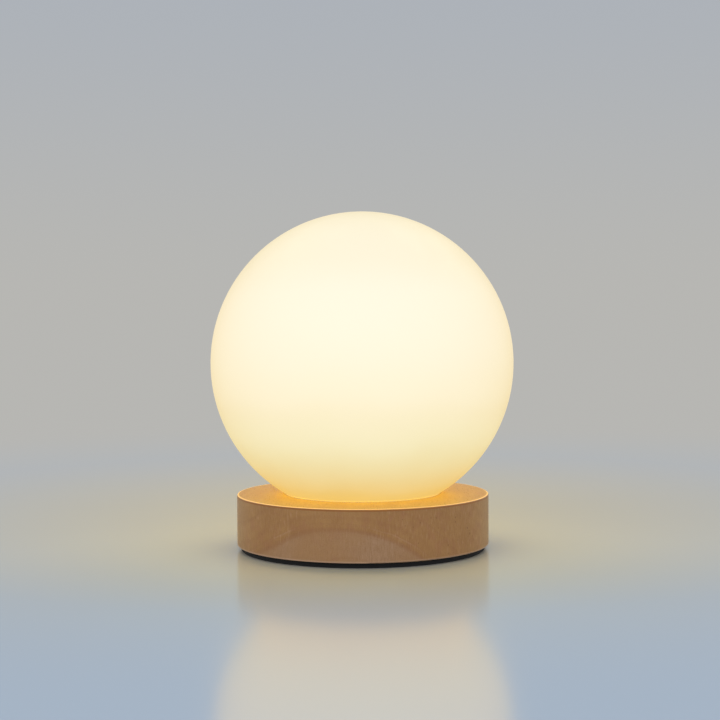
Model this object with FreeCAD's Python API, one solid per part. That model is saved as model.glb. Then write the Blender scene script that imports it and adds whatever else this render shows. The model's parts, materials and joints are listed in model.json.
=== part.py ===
import FreeCAD, Part
import math
import os

from FreeCAD import Placement, Rotation, Vector

# LED night light: an opal glass globe on a turned beech base, with a rechargeable lamp inside the base.
# Millimetres. +Z is up, and the origin is the middle of the foot pad's underside.
# The front is towards -Y, and the charging port and the power button are at the back, towards +Y.

# Outside form
GLOBE_RADIUS = 60.0
SEAT_OVERHANG = 0.2  # from the ring's lip to where the bare sphere would meet the plane that it stands on
SHOULDER_ROUND = 3.0  # soft corner between the sphere and its flat seat
GLASS_WALL = 2.2
BASE_RADIUS = 50.0
WOOD_HEIGHT = 20.0
TOP_ROUND = 0.5
FOOT_ROUND = 0.5
PAD_INSET = 1.6
PAD_THICK = 2.0
PAD_ROUND = 0.3

# Wood base
WEB = 5.0  # wood left above the pocket
SIDE_WALL = 10.0
LEDGE = 5.2  # width of the step that the bottom cover lies on
REAR_WALL = 9.8  # wood left behind the flat wall at the port
WINDOW_GAP = 0.15

# Neck of the globe and the silicone ring that grips it
NECK_RADIUS = 28.2
NECK_WALL = 2.0
NECK_FOOT_GAP = 0.6
NECK_CLEARANCE = 0.05
RING_WALL = 1.65
RING_LIP = 0.8
RING_LIP_THICK = 1.0
RING_PROUD = 0.3
RING_RIB = 0.35  # depth of the grooves that leave the grip ribs
RING_RIBS = 3
RING_GAP = 0.1

# Lamp tray
TRAY_WALL = 1.6
TRAY_RISE = 3.4  # height of the deck above the flange
TRAY_FLANGE = 4.5
TRAY_GAP = 0.5
TRAY_SCREWS = 3
TRAY_SCREW_ANGLE = 30
TRAY_SCREW_INSET = 2.1

# Lamp board, with its ring of emitters
LAMP_BOARD_INSET = 3.7
LAMP_BOARD_THICK = 1.6
LAMP_SCREWS = 3
LAMP_SCREW_ANGLE = 90
LAMP_EDGE = 3.4  # from the board's edge to its screws and its lead hole
EMITTERS = 12
EMITTER_INSET = 9.0
EMITTER_LENGTH = 3.5
EMITTER_WIDTH = 2.8
EMITTER_HEIGHT = 0.7
PHOSPHOR_RADIUS = 1.1
PHOSPHOR_DEPTH = 0.3
BOSS_WALL = 1.4
BOSS_DEPTH = 2.4

# Bottom cover
COVER_THICK = 2.2
COVER_GAP = 0.2
COVER_SCREWS = 4
COVER_SCREW_ANGLE = 45
COVER_SCREW_INSET = 2.6
FRAME_WALL = 1.2
FRAME_HEIGHT = 3.0
FRAME_GAP = 0.4
POST_HEIGHT = 2.5
POST_WALL = 1.5

# Battery, a flat pouch cell with its guard board at one end
CELL_LENGTH = 46.0
CELL_WIDTH = 34.0
CELL_THICK = 8.0
CELL_ROUND = 2.4
CELL_Y = -10.0
HEAD_LENGTH = 4.0
FOAM_THICK = 0.8
FOAM_INSET = 3.0
GUARD_WIDTH = 3.0
GUARD_LENGTH = 28.0
GUARD_THICK = 0.8
TAPE_THICK = 0.25
TAPE_LAP = 1.5
TAPE_GAP = 0.05
TAB_LENGTH = 1.8
TAB_WIDTH = 4.0
TAB_THICK = 0.2
TAB_SPREAD = 9.0

# Driver board, which lies on the bottom cover behind the battery
DRIVER_LENGTH = 32.0
DRIVER_WIDTH = 20.0
DRIVER_THICK = 1.2
DRIVER_GAP = 5.0  # from its rear edge to the port board
DRIVER_SCREW_INSET = 2.9
CHIP_LENGTH = 4.9
CHIP_WIDTH = 3.9
CHIP_HEIGHT = 1.5
CHIP_LEGS = 4  # along each side
SMALL_CHIP_LENGTH = 2.9
SMALL_CHIP_WIDTH = 1.7
SMALL_CHIP_HEIGHT = 1.1
SMALL_CHIP_LEGS = 3
CHIP_LIFT = 0.15
CHIP_LEG = 0.4
CHIP_LEG_REACH = 1.0
COIL_SIDE = 4.2
COIL_HEIGHT = 2.6
COIL_CORNER = 0.9
COIL_TOP = 0.4
CAPACITOR_LENGTH = 2.0
CAPACITOR_WIDTH = 1.25
CAPACITOR_HEIGHT = 1.1
RESISTOR_LENGTH = 1.6
RESISTOR_WIDTH = 0.8
RESISTOR_HEIGHT = 0.45

# Two-way connectors on the driver board, and the plugs in them
HEADER_LENGTH = 7.4
HEADER_WIDTH = 6.0
HEADER_HEIGHT = 4.8
HEADER_WALL = 0.7
PLUG_PROUD = 1.6
PLUG_GAP = 0.1
PIN_RADIUS = 0.25
PIN_PITCH = 2.0
PIN_LENGTH = 3.4

# Port board, standing behind the port bezel
PORT_LIFT = 0.6  # height of the port's middle above the middle of the pocket
PORT_BOARD_WIDTH = 35.0
PORT_BOARD_HEIGHT = 11.2
PORT_BOARD_THICK = 1.6
PORT_SCREW_INSET = 1.9
NOTCH_GAP = 0.6

# Port bezel
BEZEL_WIDTH = 27.0
BEZEL_HEIGHT = 10.0
BEZEL_CORNER = 3.0
BEZEL_WALL = 1.2
BEZEL_FACE = 2.0
BEZEL_FLANGE = 1.6
BEZEL_SINK = 0.3
BEZEL_ROUND = 0.4
BEZEL_EDGE = 0.2  # from the flange to the pocket's ceiling
PORT_GAP = 0.2

# Charging socket
SOCKET_X = 7.4
SOCKET_WIDTH = 8.94
SOCKET_HEIGHT = 3.26
SOCKET_WALL = 0.3
SOCKET_SINK = 0.3
SOCKET_BLOCK = 3.0
SOCKET_LEG_WIDTH = 1.2
SOCKET_LEG_PROUD = 0.6
TONGUE_WIDTH = 6.69
TONGUE_THICK = 0.7
TONGUE_SINK = 1.0

# Power button and the switch behind it
BUTTON_X = -7.0
BUTTON_TRAVEL = 2.0
BUTTON_PROUD = 0.1  # what still stands out when the button is pressed home
BUTTON_RADIUS = 3.5
BUTTON_ROUND = 0.6
BUTTON_DISH = 0.3  # depth of the hollow in its face
BUTTON_GAP = 0.1
BUTTON_BACK_GAP = 0.2
BUTTON_SOCKET = 1.8
SWITCH_SIDE = 7.0
SWITCH_DEPTH = 7.0
SWITCH_WALL = 0.8
SWITCH_PIN_RADIUS = 0.35
SWITCH_PIN_PROUD = 0.9
SWITCH_PIN_PITCH = 2.2
STEM_SIDE = 3.0
STEM_GAP = 0.06
STEM_COLLAR = 1.2
STEM_TAIL_RADIUS = 1.1
SPRING_RADIUS = 2.0
SPRING_WIRE = 0.36
SPRING_TURNS = 4

# Charge indicator
PIPE_RADIUS = 0.9
PIPE_COLLAR = 0.5
PIPE_COLLAR_LENGTH = 1.2
PIPE_GAP = 0.3
INDICATOR_LENGTH = 2.0
INDICATOR_WIDTH = 1.25
INDICATOR_HEIGHT = 0.8

# Leads
LEAD_RADIUS = 0.5
LEAD_SPREAD = 0.65  # half the distance between the two leads of a pair
LEAD_GAP = 0.4  # from the lamp's leads to the tray above them
LEAD_HOLE_RADIUS = 1.8
LEAD_HOLE_ANGLE = 150  # direction of the hole that the lamp's leads come up through
LEAD_PAD_ANGLE = 15  # from the hole to the pad of each lead
PORT_LEADS = 4
PORT_LEAD_PITCH = 1.5
PORT_LEAD_INSET = 1.5
BEND_SHARE = 0.45

# Screws
FIT_GAP = 0.05
SLOT_SHARE = 0.3
ROOT_SHARE = 0.74
COVER_SCREW = {"shank": 1.25, "head": 2.1, "head_height": 1.3, "length": 10.0, "pitch": 1.1}
TRAY_SCREW = {"shank": 1.1, "head": 2.0, "head_height": 1.4, "length": 5.2, "pitch": 0.95}
PORT_SCREW = {"shank": 1.0, "head": 1.7, "head_height": 1.3, "length": 8.2, "pitch": 0.9}
LAMP_SCREW = {"shank": 1.0, "head": 1.9, "head_height": 1.3, "length": 5.0, "pitch": 0.8}
DRIVER_SCREW = {"shank": 1.0, "head": 1.8, "head_height": 1.2, "length": 3.2, "pitch": 0.8}

OVERRUN = 1.0  # how far a cut runs past the face that it opens
SAME_POINT = 1e-6
ORIGIN = Vector(0, 0, 0)
UP = Vector(0, 0, 1)
DOWN = Vector(0, 0, -1)
BACK = Vector(0, 1, 0)

# Levels, from the floor up
wood_z0 = PAD_THICK
wood_z1 = wood_z0 + WOOD_HEIGHT
cover_z1 = wood_z0 + COVER_THICK
ceiling_z = wood_z1 - WEB
port_z = (cover_z1 + ceiling_z) / 2 + PORT_LIFT
seat_z = wood_z1 + RING_PROUD
neck_z0 = ceiling_z + NECK_FOOT_GAP
tray_z0 = ceiling_z - TRAY_WALL
deck_z = ceiling_z + TRAY_RISE
lamp_z = deck_z + LAMP_BOARD_THICK
cell_z0 = cover_z1 + FOAM_THICK
cell_z = cell_z0 + CELL_THICK / 2
driver_z0 = cover_z1 + POST_HEIGHT
driver_z = driver_z0 + DRIVER_THICK
plug_z = driver_z + HEADER_HEIGHT / 2

# Radii, from the outside in
pad_radius = BASE_RADIUS - PAD_INSET
pocket_radius = BASE_RADIUS - SIDE_WALL
rebate_radius = pocket_radius + LEDGE
cover_radius = rebate_radius - COVER_GAP
ring_radius = NECK_RADIUS + NECK_CLEARANCE + RING_WALL
lip_radius = ring_radius + RING_LIP
bore_radius = ring_radius + RING_GAP
neck_bore = NECK_RADIUS - NECK_WALL
deck_radius = neck_bore - TRAY_GAP
tray_radius = bore_radius + TRAY_FLANGE
lamp_board_radius = deck_radius - LAMP_BOARD_INSET
lamp_edge_radius = lamp_board_radius - LAMP_EDGE
emitter_radius = lamp_board_radius - EMITTER_INSET
seat_radius = lip_radius + SEAT_OVERHANG
globe_z = seat_z + math.sqrt(GLOBE_RADIUS**2 - seat_radius**2)

# Distances back from the axis, from the port's flat wall forwards
port_wall_y = BASE_RADIUS - REAR_WALL
board_front_y = port_wall_y - BEZEL_FLANGE
board_back_y = board_front_y - PORT_BOARD_THICK
notch_half = PORT_BOARD_WIDTH / 2 + NOTCH_GAP
face_radius = BASE_RADIUS - BEZEL_SINK
switch_front_y = board_front_y + SWITCH_DEPTH
button_face_y = math.sqrt(face_radius**2 - BUTTON_X**2)
button_front_y = button_face_y + BUTTON_PROUD + BUTTON_TRAVEL
button_back_y = switch_front_y + BUTTON_TRAVEL + BUTTON_BACK_GAP
stem_tip_y = button_back_y + BUTTON_SOCKET - STEM_GAP
spring_y0 = board_front_y + SWITCH_WALL
collar_y = switch_front_y - SWITCH_WALL - STEM_COLLAR
socket_mouth_y = math.sqrt(face_radius**2 - SOCKET_X**2) - SOCKET_SINK

# Where the battery and the driver board lie
head_x0 = CELL_LENGTH / 2 - HEAD_LENGTH / 2
cell_x0 = head_x0 - CELL_LENGTH
head_x1 = head_x0 + HEAD_LENGTH
driver_y1 = board_back_y - DRIVER_GAP
driver_y0 = driver_y1 - DRIVER_WIDTH
driver_y = (driver_y0 + driver_y1) / 2


def at_angle(radius, degrees, z=0):
    """Point at this distance and direction from the lamp's axis."""
    turn = math.radians(degrees)
    return Vector(radius * math.cos(turn), radius * math.sin(turn), z)


def round_the_axis(count, radius, first, z=0):
    """Points evenly spaced on a circle, each with its direction in degrees."""
    angles = [first + 360 * step / count for step in range(count)]
    return [(at_angle(radius, angle, z), angle) for angle in angles]


def joined(shapes):
    """One solid from pieces that overlap or touch."""
    whole = shapes[0].fuse(shapes[1:])
    return whole.removeSplitter()


def group(shapes):
    """Separate solids that share a name."""
    return Part.makeCompound(shapes)


def upright(radius, z0, z1, x=0, y=0):
    """Round bar along Z."""
    return Part.makeCylinder(radius, z1 - z0, Vector(x, y, z0))


def rearward(radius, y0, y1, x, z):
    """Round bar along Y."""
    return Part.makeCylinder(radius, y1 - y0, Vector(x, y0, z), BACK)


def block(x0, x1, y0, y1, z0, z1):
    """Box between these planes."""
    return Part.makeBox(x1 - x0, y1 - y0, z1 - z0, Vector(x0, y0, z0))


def centred_block(x, y, length, width, z0, z1):
    """Box round an upright line, its length along X and its width along Y."""
    return block(x - length / 2, x + length / 2, y - width / 2, y + width / 2, z0, z1)


def edges_along(shape, direction):
    """Straight edges of a shape that run along an axis."""
    straight = [edge for edge in shape.Edges if isinstance(edge.Curve, Part.Line)]
    return [edge for edge in straight if abs(abs(edge.Curve.Direction.dot(direction)) - 1) < SAME_POINT]


def edges_at(shape, radius):
    """Edges of a shape that lie this far from the lamp's axis."""
    chosen = []
    for edge in shape.Edges:
        points = edge.discretize(3)
        if all(abs(math.hypot(point.x, point.y) - radius) < SAME_POINT for point in points):
            chosen.append(edge)
    return chosen


def swing(centre, radius, start, end):
    """Middle and end of an arc in the (r, z) plane, its angles in degrees from the +r direction."""
    points = []
    for angle in ((start + end) / 2, end):
        turn = math.radians(angle)
        points.append((centre[0] + radius * math.cos(turn), centre[1] + radius * math.sin(turn)))
    return tuple(points)


def turned(*path):
    """Solid turned round Z.  Each step is the (r, z) of a corner, or an arc's middle and end."""
    edges = []
    here = path[0]
    for step in path[1:] + path[:1]:
        if isinstance(step[0], tuple):
            middle, end = step
            stops = [Vector(r, 0, z) for r, z in (here, middle, end)]
            edges.append(Part.Arc(*stops).toShape())
        else:
            end = step
            stops = [Vector(r, 0, z) for r, z in (here, end)]
            if stops[0].distanceToPoint(stops[1]) > SAME_POINT:
                edges.append(Part.makeLine(*stops))
        here = end
    return Part.Face(Part.Wire(edges)).revolve(ORIGIN, UP, 360)


def rounded_disc(radius, z0, z1, low_round, high_round):
    """Disc whose two outer edges are rounded."""
    return turned(
        (0, z0),
        (radius - low_round, z0),
        swing((radius - low_round, z0 + low_round), low_round, -90, 0),
        (radius, z1 - high_round),
        swing((radius - high_round, z1 - high_round), high_round, 0, 90),
        (0, z1),
    )


def rounded_bar(width, height, corner, y0, y1, x, z):
    """Bar along Y with a rounded rectangle for its section."""
    across = width / 2 - corner
    rise = height / 2 - corner
    corners = []
    for quarter, (cx, cz) in enumerate([(across, rise), (-across, rise), (-across, -rise), (across, -rise)]):
        middle, end = swing((cx, cz), corner, 90 * quarter, 90 * quarter + 90)
        start = swing((cx, cz), corner, 90 * quarter, 90 * quarter)[0]
        corners.append([Vector(x + px, y0, z + pz) for px, pz in (start, middle, end)])
    edges = [Part.Arc(*stops).toShape() for stops in corners]
    for this, following in zip(corners, corners[1:] + corners[:1]):
        if this[2].distanceToPoint(following[0]) > SAME_POINT:
            edges.append(Part.makeLine(this[2], following[0]))
    outline = Part.Wire(Part.sortEdges(edges)[0])
    return Part.Face(outline).extrude(BACK * (y1 - y0))


def placed(shape, point, heading=DOWN):
    """Copy of a shape made at the origin and pointing down, moved to a point and turned to a heading."""
    copy = shape.copy()
    copy.Placement = Placement(point, Rotation(DOWN, heading))
    return copy


def bend(start, corner, end):
    """Arc that leaves one run at start and joins the next at end, as far from their corner."""
    middle = (start + end) * 0.5
    leg = start.distanceToPoint(corner)
    depth = middle.distanceToPoint(corner)
    radius = leg * start.distanceToPoint(middle) / depth
    top = corner + (middle - corner) * ((leg**2 / depth - radius) / depth)
    return Part.Arc(start, top, end).toShape(), radius


def swept(edges, start, heading, radius):
    """Round wire along a smooth path."""
    ring = Part.Wire(Part.Circle(start, heading, radius).toShape())
    return Part.Wire(edges).makePipeShell([ring], True, False)


def lead(*points):
    """Insulated wire through these points, with the widest even bends that its runs allow."""
    edges = []
    here = points[0]
    radii = []
    for before, corner, after in zip(points, points[1:], points[2:]):
        reach = BEND_SHARE * min(before.distanceToPoint(corner), corner.distanceToPoint(after))
        start = corner + (before - corner).normalize() * reach
        end = corner + (after - corner).normalize() * reach
        arc, radius = bend(start, corner, end)
        edges += [Part.makeLine(here, start), arc]
        radii.append(round(radius, 2))
        here = end
    edges.append(Part.makeLine(here, points[-1]))
    wire = swept(edges, points[0], points[1] - points[0], LEAD_RADIUS)
    length = sum(edge.Length for edge in edges)
    share = wire.Volume / (math.pi * LEAD_RADIUS**2 * length)
    print(f"lead {length:.1f} mm long, bend radii {radii}, volume {share:.4f} of section times length")
    return wire


def coil(radius, wire, length, turns):
    """Spring along +Y from the origin: one unbroken wire on pairs of arcs, each pair a quarter turn."""
    climb = (length - 2 * wire) / turns
    steps = 4 * turns

    def stop(step):
        turn = math.pi / 2 * step
        return Vector(radius * math.cos(turn), wire + climb * step / 4, radius * math.sin(turn))

    def heading(step):
        turn = math.pi / 2 * step
        rate = climb / (2 * math.pi)
        return Vector(-radius * math.sin(turn), rate, radius * math.cos(turn)).normalize()

    edges = []
    for step in range(steps):
        start, end = stop(step), stop(step + 1)
        leaving, arriving = heading(step), heading(step + 1)
        across = end - start
        slope = across.dot(leaving + arriving)
        spare = 2 * (1 - leaving.dot(arriving))
        reach = (math.sqrt(slope**2 + spare * across.dot(across)) - slope) / spare
        first = start + leaving * reach
        second = end - arriving * reach
        join = (first + second) * 0.5
        edges += [bend(start, first, join)[0], bend(join, second, end)[0]]
    gap = climb - 2 * wire
    print(f"spring of {turns} turns, least gap between turns {gap:.2f} mm")
    return swept(edges, stop(0), heading(0), wire)


def pan_screw(shank, head, head_height, length, pitch):
    """Cross-head screw with a domed head, pointing down, its head seated on the plane z = 0."""
    dome = swing((0, 0), head, 0, 0)[1]
    top = head_height
    middle = (head * math.cos(math.pi / 4), top * math.sin(math.pi / 4))
    neck = (shank * ROOT_SHARE, 0)
    body = turned((0, -length), *thread(shank, length, pitch, 0), neck, dome, (middle, (0, top)))
    return body.cut(cross(head, top))


def flat_screw(shank, head, head_height, length, pitch):
    """Cross-head screw with a countersunk head, pointing down, its head flush with the plane z = 0."""
    neck = (shank * ROOT_SHARE, -head_height)
    body = turned((0, -length), *thread(shank, length, pitch, head_height), neck, (head, 0), (0, 0))
    return body.cut(cross(head, 0))


def thread(shank, length, pitch, neck):
    """Saw-tooth edge of a screw from its point up to its neck, as (r, z) corners."""
    root = shank * ROOT_SHARE
    count = int((length - shank - neck) / pitch)
    foot = -length + shank
    corners = [(root, foot)]
    for step in range(count):
        corners.append((shank, foot + (step + 0.5) * pitch))
        corners.append((root, foot + (step + 1) * pitch))
    return corners


def cross(head, top):
    """Cross-shaped recess in the top of a screw head."""
    width = head * SLOT_SHARE
    reach = 4 * width
    floor = top - width
    along = centred_block(0, 0, reach, width, floor, top + OVERRUN)
    across = centred_block(0, 0, width, reach, floor, top + OVERRUN)
    return joined([along, across])


def tray_screw_places():
    radius = tray_radius - TRAY_SCREW_INSET
    return [point for point, _ in round_the_axis(TRAY_SCREWS, radius, TRAY_SCREW_ANGLE, tray_z0)]


def lamp_screw_places():
    return [point for point, _ in round_the_axis(LAMP_SCREWS, lamp_edge_radius, LAMP_SCREW_ANGLE, lamp_z)]


def cover_screw_places():
    radius = rebate_radius - COVER_SCREW_INSET - COVER_GAP
    return [point for point, _ in round_the_axis(COVER_SCREWS, radius, COVER_SCREW_ANGLE, wood_z0)]


def driver_screw_places():
    across = DRIVER_LENGTH / 2 - DRIVER_SCREW_INSET
    along = DRIVER_WIDTH / 2 - DRIVER_SCREW_INSET
    return [Vector(sx * across, driver_y + sy * along, driver_z) for sx in (-1, 1) for sy in (-1, 1)]


def port_screw_places():
    across = PORT_BOARD_WIDTH / 2 - PORT_SCREW_INSET
    return [Vector(side * across, board_back_y, port_z) for side in (-1, 1)]


def lead_hole_place():
    """Where the lamp's two leads come up through the tray and the lamp board."""
    return at_angle(lamp_edge_radius, LEAD_HOLE_ANGLE)


# The globe and its seat
def globe_shade():
    """Blown opal globe: a hollow ball, flat where it stands, with a short neck that drops into the base."""
    middle = (0, globe_z)
    corner_z = seat_z + SHOULDER_ROUND
    corner_r = math.sqrt((GLOBE_RADIUS - SHOULDER_ROUND) ** 2 - (globe_z - corner_z) ** 2)
    shoulder = math.degrees(math.atan2(corner_z - globe_z, corner_r))
    ball_start = swing(middle, GLOBE_RADIUS, shoulder, shoulder)[1]
    inner_radius = GLOBE_RADIUS - GLASS_WALL
    inner_angle = -math.degrees(math.acos(neck_bore / inner_radius))
    inner_start = swing(middle, inner_radius, inner_angle, inner_angle)[1]
    lip = NECK_WALL / 2
    return turned(
        (0, globe_z + inner_radius),
        (0, globe_z + GLOBE_RADIUS),
        swing(middle, GLOBE_RADIUS, 90, shoulder),
        swing((corner_r, corner_z), SHOULDER_ROUND, shoulder, -90),
        (NECK_RADIUS, seat_z),
        (NECK_RADIUS, neck_z0 + lip),
        swing((NECK_RADIUS - lip, neck_z0 + lip), lip, 0, -180),
        inner_start,
        swing(middle, inner_radius, inner_angle, 90),
    )


def neck_ring():
    """Silicone ring in the wood: a lip that the globe stands on, and ribs that grip its neck."""
    inner = NECK_RADIUS + NECK_CLEARANCE
    lip_z = seat_z - RING_LIP_THICK
    sleeve_z = ceiling_z + RING_GAP
    ring = turned(
        (inner, sleeve_z),
        (ring_radius, sleeve_z),
        (ring_radius, lip_z),
        (lip_radius, lip_z),
        (lip_radius, seat_z),
        (inner, seat_z),
    )
    pitch = (lip_z - sleeve_z) / (RING_RIBS + 1)
    for step in range(RING_RIBS):
        z = sleeve_z + (step + 0.75) * pitch
        groove = upright(inner + RING_RIB, z, z + pitch / 2)
        ring = ring.cut(groove)
    return ring


# The wood base and what closes it from below
def wood_base():
    """Turned disc with a pocket milled from below, a bore for the globe's neck and a window for the port."""
    wood = rounded_disc(BASE_RADIUS, wood_z0, wood_z1, FOOT_ROUND, TOP_ROUND)
    cuts = [
        upright(rebate_radius, wood_z0 - OVERRUN, cover_z1),
        upright(pocket_radius, wood_z0, ceiling_z),
        upright(bore_radius, wood_z0, wood_z1 + OVERRUN),
        upright(lip_radius + RING_GAP, seat_z - RING_LIP_THICK, wood_z1 + OVERRUN),
        block(-notch_half, notch_half, 0, port_wall_y, wood_z0, ceiling_z),
        rounded_bar(
            BEZEL_WIDTH + 2 * WINDOW_GAP,
            BEZEL_HEIGHT + 2 * WINDOW_GAP,
            BEZEL_CORNER + WINDOW_GAP,
            port_wall_y - OVERRUN,
            BASE_RADIUS + OVERRUN,
            0,
            port_z,
        ),
    ]
    for place in cover_screw_places():
        top = wood_z0 + COVER_SCREW["length"] + FIT_GAP
        cuts.append(upright(COVER_SCREW["shank"] + FIT_GAP, wood_z0, top, place.x, place.y))
    for place in tray_screw_places():
        top = tray_z0 + TRAY_SCREW["length"] + FIT_GAP
        cuts.append(upright(TRAY_SCREW["shank"] + FIT_GAP, tray_z0, top, place.x, place.y))
    for place in port_screw_places():
        end = board_back_y + PORT_SCREW["length"] + FIT_GAP
        cuts.append(rearward(PORT_SCREW["shank"] + FIT_GAP, board_back_y, end, place.x, place.z))
    for cut in cuts:
        wood = wood.cut(cut)
    return wood


def foot_pad():
    """Black foam disc glued under the base."""
    return rounded_disc(pad_radius, 0, PAD_THICK, PAD_ROUND, PAD_ROUND)


def bottom_cover():
    """Moulded lid of the pocket, with a frame round the battery and posts under the driver board."""
    cover = upright(cover_radius, wood_z0, cover_z1)
    outer = FRAME_GAP + FRAME_WALL
    frame_z = cover_z1 + FRAME_HEIGHT
    front = CELL_Y - CELL_WIDTH / 2
    rear = CELL_Y + CELL_WIDTH / 2
    tail = head_x1 + TAPE_THICK
    inner = FRAME_GAP
    frame = block(cell_x0 - outer, tail + outer, front - outer, rear + outer, cover_z1, frame_z)
    well = block(cell_x0 - inner, tail + inner, front - inner, rear + inner, cover_z1, frame_z)
    shapes = [cover, frame.cut(well)]
    for place in driver_screw_places():
        radius = DRIVER_SCREW["shank"] + POST_WALL
        shapes.append(upright(radius, cover_z1, driver_z0, place.x, place.y))
    cover = joined(shapes)
    for place in driver_screw_places():
        foot = driver_z - DRIVER_SCREW["length"] - FIT_GAP
        cover = cover.cut(upright(DRIVER_SCREW["shank"] + FIT_GAP, foot, driver_z, place.x, place.y))
    head = COVER_SCREW["head"] + FIT_GAP
    shank = COVER_SCREW["shank"] + FIT_GAP
    rise = COVER_SCREW["head_height"]
    neck = COVER_SCREW["shank"] * ROOT_SHARE + FIT_GAP
    for place in cover_screw_places():
        sink = Part.makeCone(head, neck, rise, place)
        cover = cover.cut(sink).cut(upright(shank, wood_z0, cover_z1, place.x, place.y))
    return cover


def cover_screws():
    screw = flat_screw(**COVER_SCREW)
    return group([placed(screw, place, UP) for place in cover_screw_places()])


# The lamp under the globe
def lamp_tray():
    """White moulded tray: a flange under the wood and a raised deck that fills the globe's neck."""
    hollow = deck_radius - TRAY_WALL
    tray = turned(
        (0, deck_z - TRAY_WALL),
        (hollow, deck_z - TRAY_WALL),
        (hollow, tray_z0),
        (tray_radius, tray_z0),
        (tray_radius, ceiling_z),
        (deck_radius, ceiling_z),
        (deck_radius, deck_z),
        (0, deck_z),
    )
    under = deck_z - TRAY_WALL
    bosses = [
        upright(LAMP_SCREW["shank"] + BOSS_WALL, under - BOSS_DEPTH, under, place.x, place.y)
        for place in lamp_screw_places()
    ]
    tray = joined([tray] + bosses)
    for place in lamp_screw_places():
        foot = lamp_z - LAMP_SCREW["length"] - FIT_GAP
        tray = tray.cut(upright(LAMP_SCREW["shank"] + FIT_GAP, foot, deck_z, place.x, place.y))
    for place in tray_screw_places():
        tray = tray.cut(upright(TRAY_SCREW["shank"] + FIT_GAP, tray_z0, ceiling_z, place.x, place.y))
    hole = lead_hole_place()
    return tray.cut(upright(LEAD_HOLE_RADIUS, under, deck_z, hole.x, hole.y))


def tray_screws():
    screw = pan_screw(**TRAY_SCREW)
    return group([placed(screw, place, UP) for place in tray_screw_places()])


def lamp_board():
    """Round aluminium circuit board that carries the emitters."""
    board = upright(lamp_board_radius, deck_z, lamp_z)
    for place in lamp_screw_places():
        board = board.cut(upright(LAMP_SCREW["shank"] + FIT_GAP, deck_z, lamp_z, place.x, place.y))
    hole = lead_hole_place()
    return board.cut(upright(LEAD_HOLE_RADIUS, deck_z, lamp_z, hole.x, hole.y))


def lamp_screws():
    screw = pan_screw(**LAMP_SCREW)
    return group([placed(screw, place) for place in lamp_screw_places()])


def emitter_places():
    return round_the_axis(EMITTERS, emitter_radius, 180 / EMITTERS, lamp_z)


def emitters():
    """White packages of the surface-mounted LEDs, each with a round well in its top."""
    package = centred_block(0, 0, EMITTER_WIDTH, EMITTER_LENGTH, 0, EMITTER_HEIGHT)
    package = package.cut(upright(PHOSPHOR_RADIUS, EMITTER_HEIGHT - PHOSPHOR_DEPTH, EMITTER_HEIGHT))
    made = []
    for point, angle in emitter_places():
        copy = package.copy()
        copy.Placement = Placement(point, Rotation(UP, angle))
        made.append(copy)
    return group(made)


def phosphors():
    """Yellow filling in each emitter's well."""
    top = lamp_z + EMITTER_HEIGHT
    floor = top - PHOSPHOR_DEPTH
    return group([upright(PHOSPHOR_RADIUS, floor, top, point.x, point.y) for point, _ in emitter_places()])


# The battery
def battery_cell():
    """Flat pouch cell with rounded long edges."""
    middle = (cell_x0 + head_x0) / 2
    cell = centred_block(middle, CELL_Y, CELL_LENGTH, CELL_WIDTH, cell_z0, cell_z0 + CELL_THICK)
    return cell.makeFillet(CELL_ROUND, edges_along(cell, Vector(1, 0, 0)))


def battery_guard():
    """Small circuit board at the end of the cell, lying across it."""
    middle = head_x1 - GUARD_WIDTH / 2
    half = GUARD_THICK / 2
    return centred_block(middle, CELL_Y, GUARD_WIDTH, GUARD_LENGTH, cell_z - half, cell_z + half)


def battery_tabs():
    """Nickel strips from the cell to its guard board."""
    top = cell_z - GUARD_THICK / 2
    middle = head_x0 + TAB_LENGTH / 2
    rows = [CELL_Y - TAB_SPREAD, CELL_Y + TAB_SPREAD]
    return group([centred_block(middle, y, TAB_LENGTH, TAB_WIDTH, top - TAB_THICK, top) for y in rows])


def battery_tape():
    """Amber tape folded over the cell's end, with a hole for each lead."""
    half = CELL_WIDTH / 2 + TAPE_GAP
    rise = CELL_THICK / 2 + TAPE_GAP
    start = head_x0 - TAPE_LAP
    inner = block(start - OVERRUN, head_x1, CELL_Y - half, CELL_Y + half, cell_z - rise, cell_z + rise)
    half += TAPE_THICK
    rise += TAPE_THICK
    outer = block(start, head_x1 + TAPE_THICK, CELL_Y - half, CELL_Y + half, cell_z - rise, cell_z + rise)
    inner = inner.makeFillet(CELL_ROUND - TAPE_THICK, edges_along(inner, Vector(1, 0, 0)))
    outer = outer.makeFillet(CELL_ROUND, edges_along(outer, Vector(1, 0, 0)))
    tape = outer.cut(inner)
    for side in (-1, 1):
        start = Vector(head_x1 - OVERRUN, CELL_Y + side * LEAD_SPREAD, cell_z)
        tape = tape.cut(Part.makeCylinder(LEAD_RADIUS + FIT_GAP, 2 * OVERRUN, start, Vector(1, 0, 0)))
    return tape


def battery_foam():
    """Sticky foam between the cell and the cover."""
    length = CELL_LENGTH - 2 * FOAM_INSET
    width = CELL_WIDTH - 2 * FOAM_INSET
    return centred_block(cell_x0 + CELL_LENGTH / 2, CELL_Y, length, width, cover_z1, cell_z0)


# The driver board and its parts
def driver_board():
    board = centred_block(0, driver_y, DRIVER_LENGTH, DRIVER_WIDTH, driver_z0, driver_z)
    for place in driver_screw_places():
        board = board.cut(upright(DRIVER_SCREW["shank"] + FIT_GAP, driver_z0, driver_z, place.x, place.y))
    return board


def driver_screws():
    screw = pan_screw(**DRIVER_SCREW)
    return group([placed(screw, place) for place in driver_screw_places()])


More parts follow.
